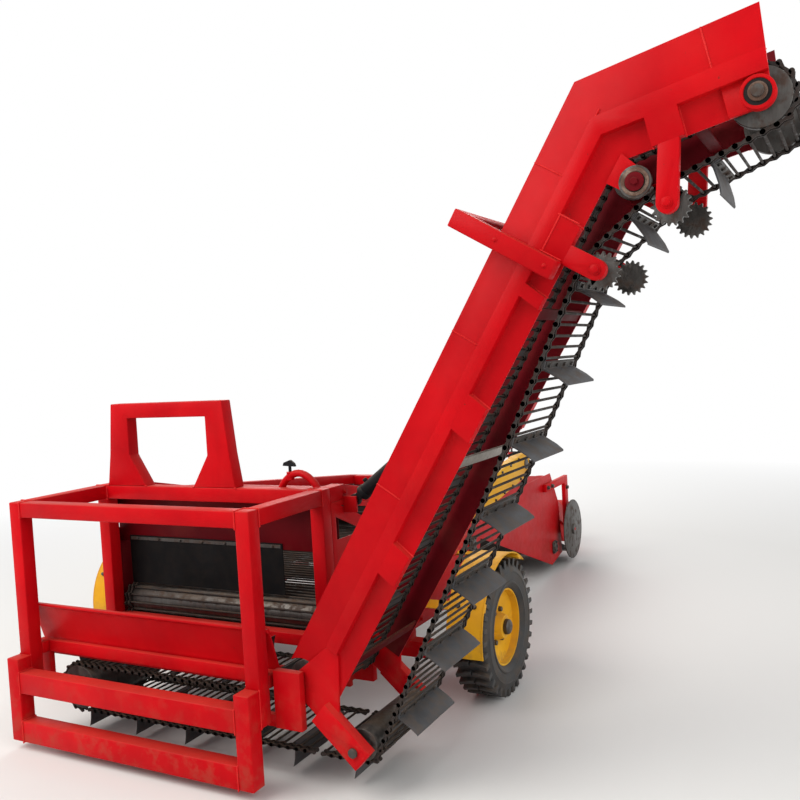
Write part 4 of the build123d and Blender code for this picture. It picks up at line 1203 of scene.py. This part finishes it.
@dataclass
class Body(Assembly):
    """The body between the cage and the share."""

    curtain_width: float = 1.060
    curtain_foot: float = 0.655
    curtain_top: float = 0.925

    def build(self) -> None:
        """Build the body."""
        self.dress({node: (Finish.RED, 0.004) for node in
                    ("top_rails", "low_rails", "cross_beams", "roller_arms", "coulter_arms", "lift_bracket")})
        # Painted shade: the body walls' inner faces get the darker red that stands in for the shade inside
        # the body.
        self.paint_shade_inside(self.eased_copy("body_walls", Finish.RED, 0.0015), 1, 0.0)
        # Painted shade: the curtain bar gets the darker red that stands in for the shade in the cage.
        self.dress({"curtain_bar": (Finish.SHADED_RED, 0.004), "web_rollers": (Finish.WORN, 0.002),
                    "share": (Finish.WORN, 0.0015), "left_coulter": (Finish.WORN, 0.001),
                    "right_coulter": (Finish.WORN, 0.001), "depth_roller": (Finish.RED, 0.003)})
        self.curtain()
        self.fasteners()

    def curtain(self) -> None:
        """Hang the rubber curtain from its bar, with slack waves towards its foot."""
        columns, rows = 96, 26
        low, high = level(self.curtain_foot), level(self.curtain_top)
        face, thick, start = station(0.7085), 0.004, 0.350 - HALF
        form, rings = Form(), []
        for row in range(rows + 1):
            share = row / rows
            line = []
            for column in range(columns + 1):
                y = start + self.curtain_width * column / columns
                wave = (0.0016 * sin(13 * y + 0.6) + 0.0009 * sin(31 * y + 4 * share)
                        + 0.0006 * sin(57 * y + 1.1))
                line.append(Vector((face + (1 - share) ** 1.3 * wave, y, low + (high - low) * share)))
            line += [point + Vector((thick, 0, 0)) for point in reversed(line)]
            rings.append([form.mesh.verts.new(point) for point in line])
        form.skin(rings)
        for ring in (rings[0], rings[-1]):
            for index in range(columns):
                form.mesh.faces.new((ring[index], ring[index + 1], ring[-index - 2], ring[-index - 1]))
        made = publish(settle(form.object("hung_curtain")), "chassis", Finish.CURTAIN, ["curtain"])
        strip = Form().box((face - 0.0032, start + 0.01, level(0.900)),
                           (face - 0.0002, start + self.curtain_width - 0.01, level(0.918)))
        make("curtain_strip", strip, "chassis", Finish.WORN, 0.0008)
        bolts("curtain_bolts", [(face - 0.0032, start + 0.06 + 0.156 * n, level(0.909)) for n in range(7)],
              (-1, 0, 0), "chassis", 0.5)

    def fasteners(self) -> None:
        """Bolt the walls to the rails and the tools to the walls."""
        for side, word in ((-1, "right"), (1, "left")):
            aim, skin = (0, side, 0), side * HALF
            slope = (1.124 - 0.900) / 2.050
            rail = [(0.780 + 0.235 * n, 1.192 - 0.053 * n) for n in range(3)]
            rail += [(1.400 + 0.270 * n, 1.124 - slope * (0.150 + 0.270 * n) - 0.037) for n in range(7)]
            low = [(0.820 + 0.240 * n, 0.322) for n in range(7)]
            for name, places in (("rail", rail), ("low_rail", low)):
                bolts(f"{word}_{name}_bolts",
                      [(station(along), skin, level(height)) for along, height in places],
                      aim, "chassis", 0.8, Finish.RED)
            bolts(f"{word}_coulter_bolts", [(x, side * (HALF + 0.030), level(height)) for x, height in
                                            ((-2.060, 0.730), (-1.960, 0.730), (-1.570, 0.660))],
                  aim, "chassis", 1.1)
            # The drive's case covers the right end of the digging web's head shaft.
            shafts = {name: shaft for name, shaft in SHAFTS.items() if side > 0 or name != "digging_head"}
            for name, shaft in shafts.items():
                self.flange(f"{word}_{name}_flange", (shaft.x, skin, level(shaft.height)), aim)
            bolts(f"{word}_flange_bolts", [(shaft.x + dx, skin + side * 0.010, level(shaft.height) + dz)
                                           for shaft in shafts.values()
                                           for dz in (0.036, -0.036) for dx in (0.036, -0.036)],
                  aim, "chassis", 0.55)

    @staticmethod
    def flange(name: str, centre: Sequence[float], aim: Sequence[float]) -> None:
        """Set a shaft's square flanged bearing on a wall."""
        frame = aim_frame(centre, aim)
        reach, thick = 0.052, 0.010
        cut = reach - 0.016
        form = Form().prism(frame, [(reach, -cut), (reach, cut), (cut, reach), (-cut, reach),
                                    (-reach, cut), (-reach, -cut), (-cut, -reach), (cut, -reach)], thick)
        form.lathe(frame @ plan_frame(thick),
                   [(0, 0.036), (0.010, 0.033), (0.013, 0.029), (0.013, 0.016), (0.004, 0.014)], 32)
        make(name, form, "chassis", Finish.WORN, 0.0015)


@dataclass
class RunningGear(Assembly):
    """Wheels, axle and mudguards."""

    axle: float = 1.425                 # station of the axle
    track: float = 2.500
    radius: float = 0.365               # of a tyre, over its lugs
    width: float = 0.200                # of a tyre
    rim: float = 0.205                  # radius of the tyre's bead
    tread: float = 0.022                # height of a lug
    guard: float = 0.395                # radius of a mudguard
    guard_width: float = 0.200

    def build(self) -> None:
        """Build the running gear."""
        self.dress({"axle_beam": (Finish.RED, 0.004), "mudguards": (Finish.YELLOW, 0.001),
                    "left_rim": (Finish.YELLOW, 0.002), "right_rim": (Finish.YELLOW, 0.002)})
        for side, word in ((1, "left"), (-1, "right")):
            self.tyre(side, word)
            self.hub(side, word)
            self.guard_edges(side, word)

    def wheel_frame(self, side: int) -> Matrix:
        """Frame at a wheel's centre, z along the axle to the outside."""
        return aim_frame((station(self.axle), side * self.track / 2, level(self.radius)), (0, side, 0))

    def tyre(self, side: int, word: str) -> None:
        """Turn a tyre and set its lugs."""
        half, base = self.width / 2, self.radius - self.tread
        frame = self.wheel_frame(side)
        # How far in from the tyre's side each corner is, and how far above the bead or the tread's base.
        wall = [(0.026, 0), (0.012, 0.010), (0.006, 0.026), (0.002, 0.029), (0.002, 0.037), (0.006, 0.040),
                (0.003, 0.060), (0.002, 0.084), (0, 0.086), (0, 0.092), (0.002, 0.094)]
        shoulder = [(0.006, -0.024), (0.014, -0.011), (0.026, -0.003), (half - 0.032, 0)]
        flank = [(inset - half, start + rise) for start, corners in ((self.rim, wall), (base, shoulder))
                 for inset, rise in corners]
        form = Form().lathe(frame, flank + [(-along, radius) for along, radius in reversed(flank)], 96, True)
        publish(settle(form.object(f"{word}_tyre_carcass")), f"{word}_wheel", Finish.TYRE, [f"{word}_tyre"])
        lug, root, count = Form(), 0.034, 34
        for hand in (-1, 1):
            outline = [(0.004, 0.014), (0.030, 0.017), (half - 0.006, -0.008), (half - 0.006, -0.034),
                       (0.028, -0.009), (0.004, -0.011)]
            lug.prism(plan_frame(-root), [(hand * x, y) for x, y in outline], self.tread + root - 0.0015)
        spots = []
        for n in range(count):
            radial = frame.to_3x3() @ Vector((*polar(1, 2 * pi * n / count), 0))
            spots.append(Spot(frame.translation + radial * base, radial, (0, side, 0)))
        scatter(f"{word}_tyre_lugs", lug, spots, f"{word}_wheel", Finish.TYRE, easing=0.0025)

    def hub(self, side: int, word: str) -> None:
        """Set the wheel's nuts and its hub cap."""
        frame, count = self.wheel_frame(side), 6
        spots = [Spot(frame @ Vector((*polar(0.092, 2 * pi * (n + 0.5) / count), 0.018)),
                      frame.to_3x3() @ Vector((0, 0, 1))) for n in range(count)]
        scatter(f"{word}_wheel_nuts", bolt_form(0.024, 0.030), spots, f"{word}_wheel", Finish.WORN, turn=0.6)
        cap = Form().lathe(frame @ plan_frame(0.0705), [(0, 0.040), (0.004, 0.042), (0.020, 0.040),
                                                        (0.027, 0.032), (0.030, 0.018), (0.030, 0.006)], 32)
        make(f"{word}_hub_cap", cap, f"{word}_wheel", Finish.WORN, 0)

    def guard_edges(self, side: int, word: str) -> None:
        """Roll the mudguard's edges and bolt it down."""
        middle, steps = side * self.track / 2, 40
        centre = Vector((station(self.axle), middle, level(self.radius)))
        edge = self.guard_width / 2 - 0.004
        form = Form()
        for out in (-edge, edge):
            path = []
            for n in range(steps + 1):
                x, z = polar(self.guard + 0.002, radians(188 - (188 - 52) * n / steps))
                path.append(centre + Vector((x, out, z)))
            form.tube(path, 0.004, 10)
        make(f"{word}_guard_edges", form, "chassis", Finish.YELLOW, 0)
        spots = []
        for turn in (radians(150), radians(62)):
            radial = Vector((cos(turn), 0, sin(turn)))
            seat = centre + radial * (self.guard + 0.004)
            spots += [Spot(seat + Vector((0, out, 0)), radial, (0, 1, 0), 0.75) for out in (-0.045, 0.045)]
        scatter(f"{word}_guard_bolts_top", bolt_form(), spots, "chassis", Finish.WORN, turn=0.5)


@dataclass
class Front(Assembly):
    """Drawbar, jack, drive and lift cylinder."""

    case_radius: float = 0.074          # of the circles that the drive case's bolts lie on
    stub: Flat = (-0.300, level(1.010))

    def build(self) -> None:
        """Build the front and the drive."""
        self.dress({"drawbar": (Finish.RED, 0.005), "jack_sleeve": (Finish.RED, 0.003),
                    "jack_leg": (Finish.BRIGHT, 0.003), "gearbox": (Finish.WORN, 0.004),
                    "drive_shaft": (Finish.BRIGHT, 0.001), "drive_case": (Finish.YELLOW, 0.006),
                    "lift_barrel": (Finish.BLACK, 0.002), "lift_rod": (Finish.BRIGHT, 0.001)})
        self.drive()
        self.jack()
        self.cylinder()

    def drive(self) -> None:
        """Bolt and cap the drive's case, and spline and bolt the gearbox."""
        face, shaft = -HALF - 0.082, SHAFTS["digging_head"]
        low, high = Vector((shaft.x, face, level(shaft.height))), Vector((-2.685, face, level(1.010)))
        run = (high - low).normalized()
        over = Vector((-run.z, 0, run.x)) * self.case_radius
        places = [low + (high - low) * share + over * side
                  for share in (0.06, 0.22, 0.38, 0.54, 0.70, 0.86) for side in (-1, 1)]
        for centre, start in ((low, pi / 2), (high, -pi / 2)):
            for n in range(3):
                x, z = polar(self.case_radius, atan2(run.z, run.x) + start + (n + 0.5) * pi / 3)
                places.append(centre + Vector((x, 0, z)))
        bolts("case_bolts", places, (0, -1, 0), "chassis", 0.6)
        form = Form()
        for centre in (low, high):
            form.lathe(aim_frame(centre, (0, -1, 0)),
                       [(-0.001, 0.040), (0.003, 0.040), (0.005, 0.037), (0.005, 0.010)], 40)
        make("case_caps", form, "chassis", Finish.WORN, 0)
        form, (y, z), splines = Form(), self.stub, 6
        for n in range(splines):
            turn = Matrix.Rotation(2 * pi * n / splines, 4, "Z")
            form.prism(side_frame(-2.560) @ Matrix.Translation((y, z, 0)) @ turn,
                       [(0.0160, -0.0042), (0.01755, -0.0042), (0.01755, 0.0042), (0.0160, 0.0042)], 0.0895)
        make("stub_splines", form, "chassis", Finish.BRIGHT)
        bolts("gearbox_bolts", [(-2.600, y + out, z + up) for out in (-0.070, 0.070)
                                for up in (-0.085, 0.080)], (1, 0, 0), "chassis", 0.8)

    def jack(self) -> None:
        """Give the jack its cap, its crank and its grip."""
        top, half = Vector((-0.480, 0.118, 0.330)), 0.033
        form = Form().box(top - Vector((half, half, 0)), top + Vector((half, half, 0.006)))
        form.rod(top, top + Vector((0, 0, 0.045)), 0.010)
        form.rod(top + Vector((-0.012, 0, 0.040)), top + Vector((0.120, 0, 0.040)), 0.008)
        make("jack_crank", form, "chassis", Finish.WORN, 0.001)
        form = Form().rod(top + Vector((0.112, 0, 0.040)), top + Vector((0.112, 0, 0.130)), 0.012, 16)
        make("jack_grip", form, "chassis", Finish.BLACK)

    def cylinder(self) -> None:
        """Ring the lift cylinder's barrel at its ends."""
        base = Vector((station(0.794), -HALF - 0.055, level(1.150)))
        run = (Vector((base.x, *self.on_incline(1.500, 0.050))) - base).normalized()
        form = Form()
        inner, outer, chamfer = 0.0345, 0.0385, 0.002
        for start, length in ((0.052, 0.030), (0.724, 0.034)):
            form.lathe(aim_frame(base + run * start, run),
                       [(0, inner), (0, outer - chamfer), (chamfer, outer), (length - chamfer, outer),
                        (length, outer - chamfer), (length, inner)], 40, True)
        side = run.cross(Vector((1, 0, 0))).normalized()
        for along in (0.110, 0.690):
            form.lathe(aim_frame(base + run * along + side * 0.033, side),
                       [(0, 0.013), (0.016, 0.013), (0.018, 0.011)], 6)
        make("barrel_rings", form, self.bodies["lift_barrel"], Finish.BLACK, 0.0008)


@dataclass
class Studio:
    """Camera, lamps, floor and backdrop."""

    eye: Sequence[float] = (-8.840, -3.0708, 1.3397)
    yaw: float = 0.4881
    pitch: float = -0.0468
    roll: float = -0.0567
    lens: float = 39.459
    sensor: float = 36.0
    sky: Colour = (0.92, 0.95, 1.0)
    sky_strength: float = 0.55
    centre: Sequence[float] = (-3.2, -0.6, GROUND)
    floor_radius: float = 26.0

    def camera(self) -> None:
        """Set the camera where the machine is seen from."""
        forward = Vector((*polar(cos(self.pitch), self.yaw), sin(self.pitch)))
        right = Vector((sin(self.yaw), -cos(self.yaw), 0.0))
        up = right.cross(forward)
        level_right = right * cos(self.roll) + up * sin(self.roll)
        level_up = up * cos(self.roll) - right * sin(self.roll)
        data = bpy.data.cameras.new("studio_camera")
        data.lens, data.sensor_width = self.lens, self.sensor
        data.clip_start, data.clip_end = 0.1, 120
        turn = Matrix((level_right, level_up, -forward)).transposed().to_4x4()
        turn.translation = Vector(self.eye)
        camera = link("studio_camera", data)
        camera.matrix_world = turn
        bpy.context.scene.camera = camera

    @staticmethod
    def lamp(name: str, place: Sequence[float], target: Sequence[float], size: float, power: float,
             tint: Colour = (1, 1, 1)) -> None:
        """Hang a soft square lamp that faces a point."""
        data = bpy.data.lights.new(name, "AREA")
        data.size, data.energy, data.color = size, power, tint
        lamp = link(name, data)
        lamp.location = place
        lamp.rotation_euler = (Vector(target) - Vector(place)).to_track_quat("-Z", "Y").to_euler()

    @staticmethod
    def seen_rays(nodes: Nodes) -> Any:
        """Return one for the rays that show the background and nought for the rest."""
        path = nodes.add("ShaderNodeLightPath")
        share = path.outputs["Is Camera Ray"]
        for name in ("Is Glossy Ray", "Is Transmission Ray"):
            share = nodes.add("ShaderNodeMath", {0: share, 1: path.outputs[name]},
                              operation="MAXIMUM").outputs[0]
        return share

    def world(self) -> None:
        """Light the room evenly and show white behind everything."""
        world = bpy.data.worlds.new("studio_world")
        world.use_nodes = True
        bpy.context.scene.world = world
        room = Nodes(world.node_tree)
        back = room.tree.nodes["Background"]
        room.feed(back.inputs[0], (*self.sky, 1.0))
        room.feed(back.inputs[1], self.sky_strength)
        seen = room.add("ShaderNodeBackground", {0: (1, 1, 1, 1)})
        mix = room.add("ShaderNodeMixShader", {0: self.seen_rays(room), 1: back.outputs[0],
                                               2: seen.outputs[0]})
        room.feed(room.tree.nodes["World Output"].inputs[0], mix.outputs[0])

    def floor(self) -> None:
        """Lay a plain pale floor that fades to white far out."""
        form = Form().lathe(Matrix.Translation(self.centre),
                            [(-0.02, self.floor_radius), (0, self.floor_radius)], 96)
        made = form.object("studio_floor")
        shader = Shader("studio_floor")
        centred = shader.add("ShaderNodeMapping", {"Vector": shader.place,
                                                   "Location": tuple(-value for value in self.centre)})
        far = shader.add("ShaderNodeVectorMath", {0: centred.outputs[0]}, operation="LENGTH")
        fade = shader.span(far.outputs["Value"], 3.2, 8.5)
        made.data.materials.append(shader.finish(linear(214, 212, 208), 0.85))
        glow = shader.add("ShaderNodeEmission", {"Color": (1, 1, 1, 1), "Strength": 1.0})
        share = shader.join("MULTIPLY", fade, self.seen_rays(shader))
        mix = shader.add("ShaderNodeMixShader", {0: share, 1: shader.base.outputs[0], 2: glow.outputs[0]})
        shader.feed(shader.tree.nodes["Material Output"].inputs[0], mix.outputs[0])

    def build(self) -> None:
        """Build the studio."""
        bpy.context.scene.view_settings.view_transform = "Standard"
        self.camera()
        self.world()
        self.floor()
        middle = (-4.6, -0.8, 0.7)
        self.lamp("key_lamp", (-9.5, 2.6, 6.0), middle, 6.0, 600, (1.0, 0.98, 0.95))
        self.lamp("side_lamp", (-7.0, -7.5, 3.8), middle, 6.5, 270)
        self.lamp("front_lamp", (3.5, 3.5, 5.0), (-3, 0, 0), 5.0, 420)


def main() -> None:
    """Build the harvester and its studio."""
    logging.basicConfig(level=logging.INFO, format="%(message)s")
    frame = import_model()
    for assembly in (RearCage, ElevatorTrough, Webs, Body, RunningGear, Front):
        LOG.info("building %s", assembly.__name__)
        assembly(frame).build()
    Studio().build()


if __name__ == "__main__":
    main()
